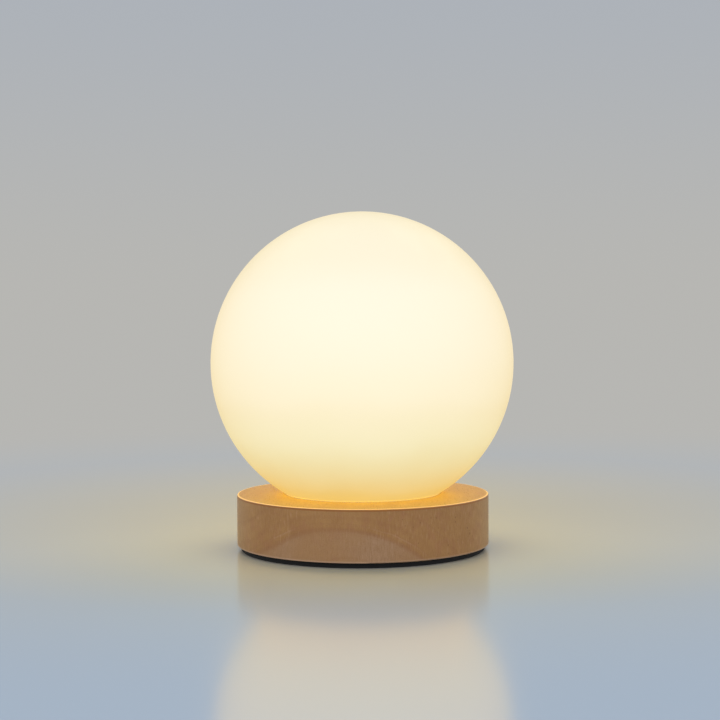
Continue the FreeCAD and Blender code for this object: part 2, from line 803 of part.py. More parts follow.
def chip(x, y, length, width, height, pairs):
    """Moulded chip with a row of bent legs on each long side."""
    body = centred_block(x, y, length, width, driver_z + CHIP_LIFT, driver_z + height)
    pitch = length / pairs
    shapes = [body]
    for step in range(pairs):
        leg_x = x + (step - (pairs - 1) / 2) * pitch
        reach = width + 2 * CHIP_LEG_REACH
        shapes.append(centred_block(leg_x, y, CHIP_LEG, reach, driver_z, driver_z + CHIP_LIFT))
        riser = width + 2 * CHIP_LIFT
        shapes.append(centred_block(leg_x, y, CHIP_LEG, riser, driver_z, driver_z + height / 2))
    return joined(shapes)


def charger_chip():
    y = driver_y + CHIP_LENGTH / 2
    return chip(-CHIP_WIDTH, y, CHIP_LENGTH, CHIP_WIDTH, CHIP_HEIGHT, CHIP_LEGS)


def driver_chip():
    y = driver_y + CHIP_LENGTH / 2
    return chip(CHIP_WIDTH, y, SMALL_CHIP_LENGTH, SMALL_CHIP_WIDTH, SMALL_CHIP_HEIGHT, SMALL_CHIP_LEGS)


def storage_coil():
    """Shielded inductor: a square block with cut corners and a round cap."""
    y = driver_y0 + COIL_SIDE
    base = centred_block(0, y, COIL_SIDE, COIL_SIDE, driver_z, driver_z + COIL_HEIGHT - COIL_TOP)
    base = base.makeChamfer(COIL_CORNER, edges_along(base, UP))
    return joined([base, upright(COIL_SIDE / 2 - COIL_TOP, driver_z, driver_z + COIL_HEIGHT, 0, y)])


def capacitors():
    """Two pairs, beside the coil."""
    across = COIL_SIDE + CAPACITOR_LENGTH / 2
    top = driver_z + CAPACITOR_HEIGHT
    made = []
    for x in (-across, across):
        for row in (-CAPACITOR_WIDTH, CAPACITOR_WIDTH):
            y = driver_y0 + COIL_SIDE + row
            made.append(centred_block(x, y, CAPACITOR_LENGTH, CAPACITOR_WIDTH, driver_z, top))
    return group(made)


def resistors():
    """Two rows of three, in front of the chips."""
    y = driver_y - CHIP_WIDTH / 2
    top = driver_z + RESISTOR_HEIGHT
    made = []
    for side in (-1, 1):
        for step in (-1, 0, 1):
            x = side * CHIP_WIDTH + 2 * step * RESISTOR_WIDTH
            made.append(centred_block(x, y, RESISTOR_WIDTH, RESISTOR_LENGTH, driver_z, top))
    return group(made)


def header(side):
    """Side-entry connector at one end of the driver board, open outwards, with its two pins."""
    mouth = side * DRIVER_LENGTH / 2
    back = mouth - side * HEADER_LENGTH
    x0, x1 = sorted((mouth, back))
    top = driver_z + HEADER_HEIGHT
    shell = centred_block((x0 + x1) / 2, driver_y, HEADER_LENGTH, HEADER_WIDTH, driver_z, top)
    well_x0, well_x1 = sorted((mouth + side * OVERRUN, back + side * HEADER_WALL))
    across = HEADER_WIDTH / 2 - HEADER_WALL
    floor = driver_z + HEADER_WALL
    return shell.cut(block(well_x0, well_x1, driver_y - across, driver_y + across, floor, top - HEADER_WALL))


def pin(side, start_x, row, radius, length):
    """Bar on the axis of one of a header's two pins."""
    start = Vector(start_x, driver_y + row * PIN_PITCH / 2, plug_z)
    return Part.makeCylinder(radius, length, start, Vector(side, 0, 0))


def header_pins(side):
    """The two pins inside one header."""
    back = side * (DRIVER_LENGTH / 2 - HEADER_LENGTH + HEADER_WALL)
    return group([pin(side, back, row, PIN_RADIUS, PIN_LENGTH) for row in (-1, 1)])


def plug(side):
    """Plug in a header, bored for the two pins."""
    mouth = side * DRIVER_LENGTH / 2
    inner = mouth - side * (HEADER_LENGTH - HEADER_WALL - PLUG_GAP)
    outer = mouth + side * PLUG_PROUD
    x0, x1 = sorted((inner, outer))
    across = HEADER_WIDTH / 2 - HEADER_WALL - PLUG_GAP
    rise = HEADER_HEIGHT / 2 - HEADER_WALL - PLUG_GAP
    body = block(x0, x1, driver_y - across, driver_y + across, plug_z - rise, plug_z + rise)
    for row in (-1, 1):
        body = body.cut(pin(side, inner - side * OVERRUN, row, PIN_RADIUS + FIT_GAP, PIN_LENGTH + OVERRUN))
    return body


# The port at the back
def port_board():
    """Circuit board behind the bezel, standing on edge."""
    half = PORT_BOARD_WIDTH / 2
    rise = PORT_BOARD_HEIGHT / 2
    board = block(-half, half, board_back_y, board_front_y, port_z - rise, port_z + rise)
    holes = [(PORT_SCREW["shank"], place.x, place.z) for place in port_screw_places()]
    holes += [(SWITCH_PIN_RADIUS, x, z) for x, z in switch_pin_places()]
    for side in (-1, 1):
        x = SOCKET_X + side * (SOCKET_WIDTH - SOCKET_WALL) / 2
        holes.append((SOCKET_LEG_WIDTH / 2 + FIT_GAP, x, port_z))
    for radius, x, z in holes:
        board = board.cut(rearward(radius + FIT_GAP, board_back_y, board_front_y, x, z))
    return board


def port_screws():
    screw = pan_screw(**PORT_SCREW)
    return group([placed(screw, place, BACK) for place in port_screw_places()])


def port_bezel():
    """Black insert that fills the window, with openings for the button, the indicator and the socket."""
    half = PORT_BOARD_WIDTH / 2
    flange_top = ceiling_z - BEZEL_EDGE
    flange = block(-half, half, board_front_y, port_wall_y, 2 * port_z - flange_top, flange_top)
    boss = rounded_bar(BEZEL_WIDTH, BEZEL_HEIGHT, BEZEL_CORNER, board_front_y, BASE_RADIUS, 0, port_z)
    boss = boss.common(upright(face_radius, 0, wood_z1))
    boss = boss.makeFillet(BEZEL_ROUND, edges_at(boss, face_radius))
    room = rounded_bar(
        BEZEL_WIDTH - 2 * BEZEL_WALL,
        BEZEL_HEIGHT - 2 * BEZEL_WALL,
        BEZEL_CORNER - BEZEL_WALL,
        board_front_y - OVERRUN,
        BASE_RADIUS,
        0,
        port_z,
    )
    room = room.common(upright(face_radius - BEZEL_FACE, 0, wood_z1))
    bezel = joined([flange, boss]).cut(room)
    end = BASE_RADIUS + OVERRUN
    tall = SOCKET_HEIGHT + 2 * PORT_GAP
    wide = SOCKET_WIDTH + 2 * PORT_GAP
    cuts = [
        rearward(BUTTON_RADIUS + BUTTON_GAP, port_wall_y, end, BUTTON_X, port_z),
        rearward(PIPE_RADIUS + FIT_GAP, port_wall_y, end, 0, port_z),
        rounded_bar(wide, tall, tall / 2, port_wall_y, end, SOCKET_X, port_z),
    ]
    for place in port_screw_places():
        cuts.append(rearward(PORT_SCREW["shank"] + FIT_GAP, board_front_y, port_wall_y, place.x, place.z))
    for cut in cuts:
        bezel = bezel.cut(cut)
    return bezel


def socket_shell():
    """Steel shell of the charging socket, with a leg on each side that goes through the port board."""
    start, mouth = board_front_y, socket_mouth_y
    outer = rounded_bar(SOCKET_WIDTH, SOCKET_HEIGHT, SOCKET_HEIGHT / 2, start, mouth, SOCKET_X, port_z)
    tall = SOCKET_HEIGHT - 2 * SOCKET_WALL
    wide = SOCKET_WIDTH - 2 * SOCKET_WALL
    inner = rounded_bar(wide, tall, tall / 2, start - OVERRUN, mouth + OVERRUN, SOCKET_X, port_z)
    shell = outer.cut(inner)
    legs = []
    for side in (-1, 1):
        x0, x1 = sorted((SOCKET_X + side * (wide / 2), SOCKET_X + side * (SOCKET_WIDTH / 2)))
        half = SOCKET_LEG_WIDTH / 2
        foot = board_back_y - SOCKET_LEG_PROUD
        legs.append(block(x0, x1, foot, board_front_y + SOCKET_BLOCK, port_z - half, port_z + half))
    return joined([shell] + legs)


def socket_tongue():
    """Moulded block and tongue inside the charging socket."""
    tall = SOCKET_HEIGHT - 2 * SOCKET_WALL - 2 * FIT_GAP
    wide = SOCKET_WIDTH - 2 * SOCKET_WALL - 2 * FIT_GAP
    core = rounded_bar(wide, tall, tall / 2, board_front_y, board_front_y + SOCKET_BLOCK, SOCKET_X, port_z)
    half = TONGUE_THICK / 2
    reach = TONGUE_WIDTH / 2
    tip = socket_mouth_y - TONGUE_SINK
    tongue = block(SOCKET_X - reach, SOCKET_X + reach, board_front_y, tip, port_z - half, port_z + half)
    return joined([core, tongue])


def switch_pin_places():
    pitch = SWITCH_PIN_PITCH
    return [(BUTTON_X + column * pitch, port_z + row * pitch) for column in (-1, 1) for row in (-1, 0, 1)]


def switch_pins():
    """Six solder pins of the switch, through the port board."""
    foot = board_back_y - SWITCH_PIN_PROUD
    return group([rearward(SWITCH_PIN_RADIUS, foot, board_front_y, x, z) for x, z in switch_pin_places()])


def square_bar(half, y0, y1):
    """Square bar along Y on the button's axis."""
    return block(BUTTON_X - half, BUTTON_X + half, y0, y1, port_z - half, port_z + half)


def switch_case():
    """Moulded case of the push switch, with a square opening for its stem."""
    case = square_bar(SWITCH_SIDE / 2, board_front_y, switch_front_y)
    inside = square_bar(SWITCH_SIDE / 2 - SWITCH_WALL, spring_y0, switch_front_y - SWITCH_WALL)
    opening = square_bar(STEM_SIDE / 2 + STEM_GAP, spring_y0, switch_front_y + OVERRUN)
    return case.cut(inside).cut(opening)


def switch_stem():
    """Sliding stem of the switch: a square bar with a collar that the spring pushes on."""
    bar = square_bar(STEM_SIDE / 2, collar_y, stem_tip_y)
    collar = square_bar(SWITCH_SIDE / 2 - SWITCH_WALL - STEM_GAP, collar_y, collar_y + STEM_COLLAR)
    tail_y = spring_y0 + BUTTON_TRAVEL + BUTTON_BACK_GAP
    tail = rearward(STEM_TAIL_RADIUS, tail_y, collar_y, BUTTON_X, port_z)
    return joined([bar, collar, tail])


def switch_spring():
    spring = coil(SPRING_RADIUS, SPRING_WIRE / 2, collar_y - spring_y0, SPRING_TURNS)
    spring.translate(Vector(BUTTON_X, spring_y0, port_z))
    return spring


def power_button():
    """Round cap pressed onto the stem, guided by the bezel."""
    length = button_front_y - button_back_y
    flat = BUTTON_RADIUS - BUTTON_ROUND
    dish_radius = (flat**2 + BUTTON_DISH**2) / (2 * BUTTON_DISH)
    dish_edge = math.degrees(math.asin(flat / dish_radius))
    cap = turned(
        (0, 0),
        (BUTTON_RADIUS, 0),
        (BUTTON_RADIUS, -length + BUTTON_ROUND),
        swing((flat, -length + BUTTON_ROUND), BUTTON_ROUND, 0, -90),
        swing((0, -length + BUTTON_DISH - dish_radius), dish_radius, 90 - dish_edge, 90),
    )
    cap = placed(cap, Vector(BUTTON_X, button_back_y, port_z), BACK)
    socket_end = button_back_y + BUTTON_SOCKET
    return cap.cut(square_bar(STEM_SIDE / 2 + STEM_GAP, button_back_y - OVERRUN, socket_end))


def charge_indicator():
    """Small LED on the port board."""
    half = INDICATOR_LENGTH / 2
    rise = INDICATOR_WIDTH / 2
    return block(-half, half, board_front_y, board_front_y + INDICATOR_HEIGHT, port_z - rise, port_z + rise)


def light_pipe():
    """Clear rod from the indicator to the bezel's face, with a collar that stops it behind the face."""
    start = board_front_y + INDICATOR_HEIGHT + PIPE_GAP
    inside = face_radius - BEZEL_FACE - FIT_GAP
    rod = rearward(PIPE_RADIUS, start, face_radius, 0, port_z)
    collar = rearward(PIPE_RADIUS + PIPE_COLLAR, inside - PIPE_COLLAR_LENGTH, inside, 0, port_z)
    return joined([rod, collar.common(upright(inside, 0, wood_z1))])


# Leads, each made whole along its route
def battery_lead(side):
    """Lead from the battery's guard board round the end of the driver board to its plug."""
    offset = side * LEAD_SPREAD
    turn_x = head_x1 + FRAME_WALL + 3 * LEAD_SPREAD + offset
    return lead(
        Vector(head_x1, CELL_Y - offset, cell_z),
        Vector(turn_x, CELL_Y - offset, cell_z),
        Vector(turn_x, driver_y + offset, plug_z),
        Vector(DRIVER_LENGTH / 2 + PLUG_PROUD, driver_y + offset, plug_z),
    )


def lamp_lead(side):
    """Lead from the driver board's other plug up through the tray to a pad on the lamp board."""
    offset = side * LEAD_SPREAD
    hole = lead_hole_place()
    plug_x = -DRIVER_LENGTH / 2 - PLUG_PROUD
    turn_x = plug_x - HEADER_WIDTH - offset
    high = tray_z0 - LEAD_GAP - LEAD_RADIUS
    crest = lamp_z + 4 * LEAD_RADIUS
    rise = Vector(hole.x, hole.y - offset, 0)
    pad = at_angle(lamp_edge_radius, LEAD_HOLE_ANGLE + side * LEAD_PAD_ANGLE)
    return lead(
        Vector(plug_x, driver_y + offset, plug_z),
        Vector(turn_x, driver_y + offset, plug_z),
        Vector(turn_x, rise.y, high),
        Vector(rise.x, rise.y, high),
        Vector(rise.x, rise.y, crest),
        Vector(pad.x, pad.y, crest),
        Vector(pad.x, pad.y, lamp_z),
    )


def port_leads():
    """Four short leads from the port board down onto the driver board."""
    high = driver_z + 5 * LEAD_RADIUS
    y = driver_y1 - PORT_LEAD_INSET
    made = []
    for step in range(PORT_LEADS):
        x = (step - (PORT_LEADS - 1) / 2) * PORT_LEAD_PITCH
        made.append(lead(Vector(x, board_back_y, high), Vector(x, y, high), Vector(x, y, driver_z)))
    return group(made)


PIECES = {
    "globe_shade": globe_shade,
    "neck_ring": neck_ring,
    "wood_base": wood_base,
    "foot_pad": foot_pad,
    "bottom_cover": bottom_cover,
    "cover_screws": cover_screws,
    "lamp_tray": lamp_tray,
    "tray_screws": tray_screws,
    "lamp_board": lamp_board,
    "lamp_board_screws": lamp_screws,
    "lamp_emitters": emitters,
    "emitter_phosphors": phosphors,
    "battery_cell": battery_cell,
    "battery_guard_board": battery_guard,
    "battery_tabs": battery_tabs,
    "battery_tape": battery_tape,
    "battery_foam": battery_foam,
    "driver_board": driver_board,
    "driver_board_screws": driver_screws,
    "charger_chip": charger_chip,
    "driver_chip": driver_chip,
    "storage_coil": storage_coil,
    "capacitors": capacitors,
    "resistors": resistors,
    "battery_header": lambda: header(1),
    "battery_header_pins": lambda: header_pins(1),
    "battery_plug": lambda: plug(1),
    "lamp_header": lambda: header(-1),
    "lamp_header_pins": lambda: header_pins(-1),
    "lamp_plug": lambda: plug(-1),
    "port_board": port_board,
    "port_board_screws": port_screws,
    "port_bezel": port_bezel,
    "socket_shell": socket_shell,
    "socket_tongue": socket_tongue,
    "switch_case": switch_case,
    "switch_pins": switch_pins,
    "switch_stem": switch_stem,
    "switch_spring": switch_spring,
    "power_button": power_button,
    "charge_indicator": charge_indicator,
    "light_pipe": light_pipe,
    "battery_lead_red": lambda: battery_lead(1),
    "battery_lead_black": lambda: battery_lead(-1),
    "lamp_lead_red": lambda: lamp_lead(1),
    "lamp_lead_black": lambda: lamp_lead(-1),
    "port_leads": port_leads,
}


def main():
    os.makedirs("parts", exist_ok=True)
    for name, make in PIECES.items():
        shape = make()
        solids = shape.Solids
        sound = all(solid.isValid() and solid.Volume > 0 for solid in solids)
        print(f"{name}: {len(solids)} solid(s), {shape.Volume:.1f} mm3" + ("" if sound else "  NOT SOUND"))
        shape.exportStep(os.path.join("parts", f"{name}.step"))


main()
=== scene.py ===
# %% [markdown]
# # A lit glass globe on a beech disc
#
# This lamp is an opal glass ball that glows from within and stands on a turned wooden base. A packed
# model already holds every solid piece at its real size, and this script dresses it. It gives each
# piece a finish, adds the small things that the solids leave out, and sets a floor, soft lights and a
# camera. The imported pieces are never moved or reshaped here. Everything is in metres, with the lamp's
# foot at height zero, its front towards -Y and its socket and button towards +Y.

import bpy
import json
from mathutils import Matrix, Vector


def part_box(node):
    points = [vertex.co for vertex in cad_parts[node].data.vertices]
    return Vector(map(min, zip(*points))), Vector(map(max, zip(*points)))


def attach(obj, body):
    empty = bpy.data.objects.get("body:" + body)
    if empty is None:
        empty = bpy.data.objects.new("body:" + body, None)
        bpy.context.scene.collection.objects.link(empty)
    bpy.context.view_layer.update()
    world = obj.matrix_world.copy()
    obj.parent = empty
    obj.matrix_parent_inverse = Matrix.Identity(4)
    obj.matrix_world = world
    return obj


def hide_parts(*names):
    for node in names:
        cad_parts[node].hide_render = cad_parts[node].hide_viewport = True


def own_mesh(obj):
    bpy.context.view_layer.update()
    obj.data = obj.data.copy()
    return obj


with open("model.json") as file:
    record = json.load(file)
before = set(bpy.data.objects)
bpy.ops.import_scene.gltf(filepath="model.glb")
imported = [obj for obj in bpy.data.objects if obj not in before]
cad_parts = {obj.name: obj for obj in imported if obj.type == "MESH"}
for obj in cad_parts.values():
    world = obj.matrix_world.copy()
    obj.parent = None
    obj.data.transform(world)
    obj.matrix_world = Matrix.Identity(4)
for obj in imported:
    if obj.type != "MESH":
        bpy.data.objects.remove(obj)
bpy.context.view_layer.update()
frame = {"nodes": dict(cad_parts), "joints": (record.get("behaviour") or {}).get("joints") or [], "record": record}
print("pieces loaded:", len(frame["nodes"]))

# %% Modules and the unit that the sizes are written in
import json
import math
from functools import reduce

import bmesh
import bpy
from mathutils import Matrix, Vector

MM = 0.001
BASE = "base"

# %% [markdown]
# ## Helpers for building node trees
#
# Shaders and Geometry Nodes are both trees of nodes, and both are easier to read when a line of code
# says what a node is and what feeds it. `put` adds a node and feeds its inputs, either with plain
# values or with the outputs of other nodes. `calc` is the same for sums. `new_tree` makes an empty
# group with named inputs and outputs, so that an effect can be built once and used in many finishes.

# %% Add and feed nodes
def feed(node, feeds):
    """Gives a node's inputs plain values, or links them to other nodes' outputs."""
    for name, source in feeds.items():
        if isinstance(source, bpy.types.NodeSocket):
            node.id_data.links.new(source, node.inputs[name])
        else:
            node.inputs[name].default_value = source


def put(tree, kind, feeds=None, **options):
    """Adds a node to a tree, sets its options and feeds its inputs."""
    node = tree.nodes.new(kind)
    for option, value in options.items():
        setattr(node, option, value)
    feed(node, feeds or {})
    return node


def calc(tree, operation, *values):
    """One sum on numbers."""
    return put(tree, "ShaderNodeMath", dict(enumerate(values)), operation=operation).outputs[0]


def product(tree, *values):
    """Several numbers multiplied together."""
    return reduce(lambda one, other: calc(tree, "MULTIPLY", one, other), values)


def largest(tree, *values):
    """The largest of several numbers."""
    return reduce(lambda one, other: calc(tree, "MAXIMUM", one, other), values)


def calc_vector(tree, operation, *values):
    """One sum on vectors. Where the answer is a number, it is the second output."""
    node = put(tree, "ShaderNodeVectorMath", dict(enumerate(values)), operation=operation)
    return node.outputs[1] if operation in ("LENGTH", "DISTANCE", "DOT_PRODUCT") else node.outputs[0]


def scaled(tree, vector, factor):
    """A vector made longer or shorter."""
    return put(tree, "ShaderNodeVectorMath", {0: vector, "Scale": factor}, operation="SCALE").outputs[0]


def split(tree, vector):
    """A vector's X, Y and Z."""
    return put(tree, "ShaderNodeSeparateXYZ", {"Vector": vector}).outputs


def join(tree, **parts):
    """A vector from its X, Y and Z, which are 0 where they aren't given."""
    return put(tree, "ShaderNodeCombineXYZ", parts).outputs[0]


def rescale(tree, value, from_range, to_range=(0.0, 1.0), smooth=False):
    """A value that runs over one range, made to run over another and held at its ends."""
    limits = (*from_range, *to_range)
    feeds = {"Value": value, **dict(zip(("From Min", "From Max", "To Min", "To Max"), limits))}
    kind = "SMOOTHSTEP" if smooth else "LINEAR"
    return put(tree, "ShaderNodeMapRange", feeds, interpolation_type=kind, clamp=True).outputs["Result"]


def mix_colours(tree, share, first, second, blend="MIX"):
    """The first colour where the share is 0 and, with a plain blend, the second where it is 1."""
    node = put(tree, "ShaderNodeMix", data_type="RGBA", blend_type=blend)
    feed(node, {0: share, 6: first, 7: second})
    return node.outputs[2]


def mix_values(tree, share, first, second):
    """The first value where the share is 0 and the second where it is 1."""
    node = put(tree, "ShaderNodeMix", data_type="FLOAT")
    feed(node, {0: share, 2: first, 3: second})
    return node.outputs[0]


def band(tree, value, middle, half_width, soft=0.08 * MM):
    """1 within half a width of the middle of a band and 0 outside it."""
    away = calc(tree, "ABSOLUTE", calc(tree, "SUBTRACT", value, middle))
    return rescale(tree, away, (half_width - soft, half_width + soft), (1.0, 0.0), True)


def new_tree(kind, title, takes, gives):
    """A group with named inputs and outputs. It gives the tree, what it takes and what it must give."""
    tree = bpy.data.node_groups.new(title, kind)
    for name, socket, value in takes:
        made = tree.interface.new_socket(name, in_out="INPUT", socket_type="NodeSocket" + socket)
        if value is not None:
            made.default_value = value
    for name, socket in gives:
        tree.interface.new_socket(name, in_out="OUTPUT", socket_type="NodeSocket" + socket)
    return tree, put(tree, "NodeGroupInput").outputs, put(tree, "NodeGroupOutput")


def use(tree, group, feeds):
    """Places a shader group in a material or in another group and gives its outputs."""
    return put(tree, "ShaderNodeGroup", feeds, node_tree=group).outputs


# %% [markdown]
# ## Effects that several finishes share
#
# Real materials are never one flat value. A moulded face has a fine grain, a plated one has cloudy
# patches, foam and plastic skins have tiny cells, and every hard edge is rubbed a little smoother than
# the faces beside it, and on many finishes is painted lighter as a highlight. Each of these is a shader
# group that puts out a plain value. The material decides what the value does there. All of them read
# object coordinates, which are metres in the lamp's frame, so a size typed here is a real size.

# %% Grain: noise of a real size, stretched as wanted
UNSTRETCHED = (1.0, 1.0, 1.0)
NOISE_SPREAD = (0.3, 0.7)  # where nearly all of a noise's values lie


def in_sizes(tree, place, size):
    """A place counted in sizes of a pattern, instead of metres."""
    return scaled(tree, place, calc(tree, "DIVIDE", 1.0, size))


def make_grain():
    takes = [
        ("Place", "Vector", None),
        ("Stretch", "Vector", UNSTRETCHED),
        ("Size", "Float", 1.0 * MM),
        ("Detail", "Float", 3.0),
        ("Low", "Float", 0.0),
        ("High", "Float", 1.0),
    ]
    tree, taken, given = new_tree("ShaderNodeTree", "Grain", takes, [("Value", "Float")])
    shaped = calc_vector(tree, "DIVIDE", taken["Place"], taken["Stretch"])
    feeds = {"Vector": in_sizes(tree, shaped, taken["Size"]), "Scale": 1.0, "Detail": taken["Detail"]}
    spread = rescale(tree, put(tree, "ShaderNodeTexNoise", feeds).outputs["Fac"], NOISE_SPREAD)
    feed(given, {"Value": mix_values(tree, spread, taken["Low"], taken["High"])})
    return tree


def grain(tree, place, size, detail=3.0, stretch=UNSTRETCHED, low=0.0, high=1.0):
    """Places the grain group and gives its value."""
    feeds = {"Place": place, "Size": size, "Detail": detail, "Stretch": stretch, "Low": low, "High": high}
    return use(tree, GRAIN, feeds)["Value"]


GRAIN = make_grain()
print("group:", GRAIN.name)


# %% Cells and flecks: the pits of foam and moulds, and sparse small marks such as pores
CELL_WALL = 0.9  # how far from its middle a pit ends, in sizes
SMALLEST_FLECK = 0.4  # as a share of the largest
FLECK_RIM = 0.6  # how much of a fleck is soft


def scattered(tree, place, size):
    """A pattern of cells of the given size, each with one point at random in it."""
    feeds = {"Vector": in_sizes(tree, place, size), "Scale": 1.0, "Randomness": 1.0}
    return put(tree, "ShaderNodeTexVoronoi", feeds, feature="F1").outputs


def make_cells():
    takes = [("Place", "Vector", None), ("Size", "Float", 0.4 * MM)]
    tree, taken, given = new_tree("ShaderNodeTree", "Cells", takes, [("Height", "Float")])
    pits = scattered(tree, taken["Place"], taken["Size"])
    feed(given, {"Height": rescale(tree, pits["Distance"], (0.0, CELL_WALL), smooth=True)})
    return tree


def make_flecks():
    takes = [
        ("Place", "Vector", None),
        ("Stretch", "Vector", UNSTRETCHED),
        ("Spacing", "Float", 1.0 * MM),
        ("Share", "Float", 0.3),
        ("Reach", "Float", 0.3),
    ]
    tree, taken, given = new_tree("ShaderNodeTree", "Flecks", takes, [("Mark", "Float")])
    shaped = calc_vector(tree, "DIVIDE", taken["Place"], taken["Stretch"])
    cell = scattered(tree, shaped, taken["Spacing"])
    lot = put(tree, "ShaderNodeSeparateColor", {"Color": cell["Color"]}).outputs
    chosen = calc(tree, "LESS_THAN", lot["Red"], taken["Share"])
    width = calc(tree, "MULTIPLY_ADD", lot["Green"], 1 - SMALLEST_FLECK, SMALLEST_FLECK)
    away = calc(tree, "DIVIDE", cell["Distance"], product(tree, taken["Reach"], width))
    mark = rescale(tree, calc(tree, "SUBTRACT", 1.0, away), (0.0, FLECK_RIM), smooth=True)
    feed(given, {"Mark": product(tree, mark, chosen)})
    return tree


CELLS = make_cells()
FLECKS = make_flecks()
print("groups:", CELLS.name, FLECKS.name)


# %% Arris: where a surface is close to one of its edges
NORMALS_AGREE = (0.995, 0.8)  # how far a bevelled normal agrees with the true one, on a face and at an edge


def make_arris():
    takes = [("Width", "Float", 0.5 * MM)]
    tree, taken, given = new_tree("ShaderNodeTree", "Arris", takes, [("Edge", "Float")])
    rounded = put(tree, "ShaderNodeBevel", {"Radius": taken["Width"]}, samples=4)
    true_normal = put(tree, "ShaderNodeNewGeometry").outputs["Normal"]
    agree = calc_vector(tree, "DOT_PRODUCT", rounded.outputs["Normal"], true_normal)
    feed(given, {"Edge": rescale(tree, agree, NORMALS_AGREE)})
    return tree


ARRIS = make_arris()
print("group:", ARRIS.name)


# %% Polar: distance from an upright axis, and distance along the ring from the nearest of its stations
def make_polar():
    takes = [("Place", "Vector", None), ("Stations", "Float", 1.0)]
    gives = [("Radius", "Float"), ("Along", "Float"), ("Height", "Float")]
    tree, taken, given = new_tree("ShaderNodeTree", "Polar", takes, gives)
    part = split(tree, taken["Place"])
    radius = calc_vector(tree, "LENGTH", join(tree, X=part["X"], Y=part["Y"]))
    turns = calc(tree, "DIVIDE", calc(tree, "ARCTAN2", part["Y"], part["X"]), math.tau)
    step = calc(tree, "SUBTRACT", calc(tree, "FRACT", product(tree, turns, taken["Stations"])), 0.5)
    arc = calc(tree, "DIVIDE", product(tree, step, math.tau), taken["Stations"])
    feed(given, {"Radius": radius, "Along": product(tree, arc, radius), "Height": part["Z"]})
    return tree


POLAR = make_polar()
print("group:", POLAR.name)


# %% [markdown]
# ## Starting a finish
#
# A finish is one material with one Principled shader. Whatever is the same all over the surface is
# typed straight into the shader's own inputs. Only what changes from place to place is linked, and it
# comes from the groups above. Bump gives the relief that is too fine to model.

# %% Start a material, tint it and give it relief
FINISHES = {}


def rgb(red, green, blue):
    """A colour in linear light, as a shader's input takes it."""
    return (red, green, blue, 1.0)


def darker(colour, share):
    """The same colour with less light, or with more where the share is over 1."""
    return rgb(*(share * part for part in colour[:3]))


def new_finish(name, plain):
    """A material with its plain values: its tree, its shader and a point's place in the lamp's frame."""
    finish = bpy.data.materials.new(name + "_finish")
    finish.use_nodes = True
    tree = finish.node_tree
    shader = tree.nodes["Principled BSDF"]
    feed(shader, plain)
    FINISHES[name] = finish
    return tree, shader, put(tree, "ShaderNodeTexCoord").outputs["Object"]


def stain(tree, ground, colour, *shares):
    """The ground with a colour over it, as strong as the shares multiplied together."""
    return mix_colours(tree, product(tree, *shares), ground, colour)


def relief(tree, height, depth):
    """The normal of a surface whose height runs from 0 to 1 over the given depth."""
    feeds = {"Height": height, "Distance": depth, "Strength": 1.0}
    return put(tree, "ShaderNodeBump", feeds).outputs["Normal"]


def dress(tree, shader, colour, roughness, height, depth, **others):
    """Links a finish's colour, its roughness and the relief that a height and a depth give it."""
    feeds = {"Base Color": colour, "Roughness": roughness, "Normal": relief(tree, height, depth)}
    feed(shader, {**feeds, **others})


print("finishes are kept by the name of the packed material that they replace")


# %% [markdown]
# ## The opal glass
#
# Opal glass scatters light so well that the LEDs inside can't be told apart. The eye sees one soft
# body of light: almost white from the middle up, and amber near the foot, where the glass is furthest
# round from the lamp board. A ramp over the height gives that. It is the glow of the glass itself,
# so it stays right from every side.
#
# A lit globe is also a little deeper in colour towards its outline, because a slanting look goes
# through more glass. The shader's coat does this when it is tinted: its tint acts once when seen
# head on, and more at a slant. A low index of refraction makes that change wide and soft and leaves
# the coat without a mirror shine of its own. The coat is thinner near the foot, where the LEDs are
# close and light the outline as well.
#
# A camera can't record how much brighter a lit lamp is than its surroundings, so the glow shows at
# its recorded value, while the light that it throws on the wood and the floor is stronger and warmer,
# and so is its mirror image in the floor. The Light Path node tells these three apart.

# %% Opal glass
globe_low, globe_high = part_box("globe_shade")
GLOBE_RADIUS = (globe_high.x - globe_low.x) / 2
GLOBE_CENTRE_Z = globe_high.z - GLOBE_RADIUS
GLASS_WALL = 2.2 * MM
FLATTENED = 8.6 * MM  # how much of the ball's foot the flat seat takes away
SEAT_Z = globe_high.z - 2 * GLOBE_RADIUS + FLATTENED
SEAT_FADE = 1 * MM
NECK_RADIUS = 28.2 * MM
NECK_FADE = 0.4 * MM
GLOW = 0.89
MIRRORED_GLOW = 1.55
CAST_GLOW = 2.2  # what the outer skin throws on its surroundings
INNER_GLOW = 0.5  # what the inside throws back into the base when the globe is off
MIRRORED_TINT = rgb(1.0, 0.78, 0.34)
CAST_COLOUR = rgb(1.0, 0.86, 0.12)
INNER_COLOUR = rgb(1.0, 0.84, 0.60)
CLOUD_SIZE = 28 * MM
CLOUD_SHIFT = 0.012  # how far a cloud in the glass moves the ramp, as a share of the height
COAT_HEIGHTS = (0.05, 0.35)
COAT_WEIGHTS = (0.45, 1.0)
GLOW_STOPS = [
    (0.00, rgb(0.785, 0.515, 0.115)),
    (0.05, rgb(0.785, 0.552, 0.141)),
    (0.115, rgb(0.818, 0.63, 0.237)),
    (0.245, rgb(0.903, 0.816, 0.503)),
    (0.38, rgb(0.98, 0.90, 0.67)),
    (0.50, rgb(0.995, 0.935, 0.76)),
    (0.71, rgb(0.99, 0.945, 0.82)),
    (0.84, rgb(0.93, 0.895, 0.765)),
    (1.00, rgb(0.91, 0.90, 0.81)),
]


def ramp(tree, value, stops):
    """A colour that follows a value smoothly from stop to stop."""
    node = put(tree, "ShaderNodeValToRGB", {"Fac": value})
    gradient = node.color_ramp
    gradient.interpolation = "CARDINAL"
    for index, (position, colour) in enumerate(stops):
        if index < 2:
            gradient.elements[index].position = position
        stop = gradient.elements[index] if index < 2 else gradient.elements.new(position)
        stop.color = colour
    return node.outputs["Color"]


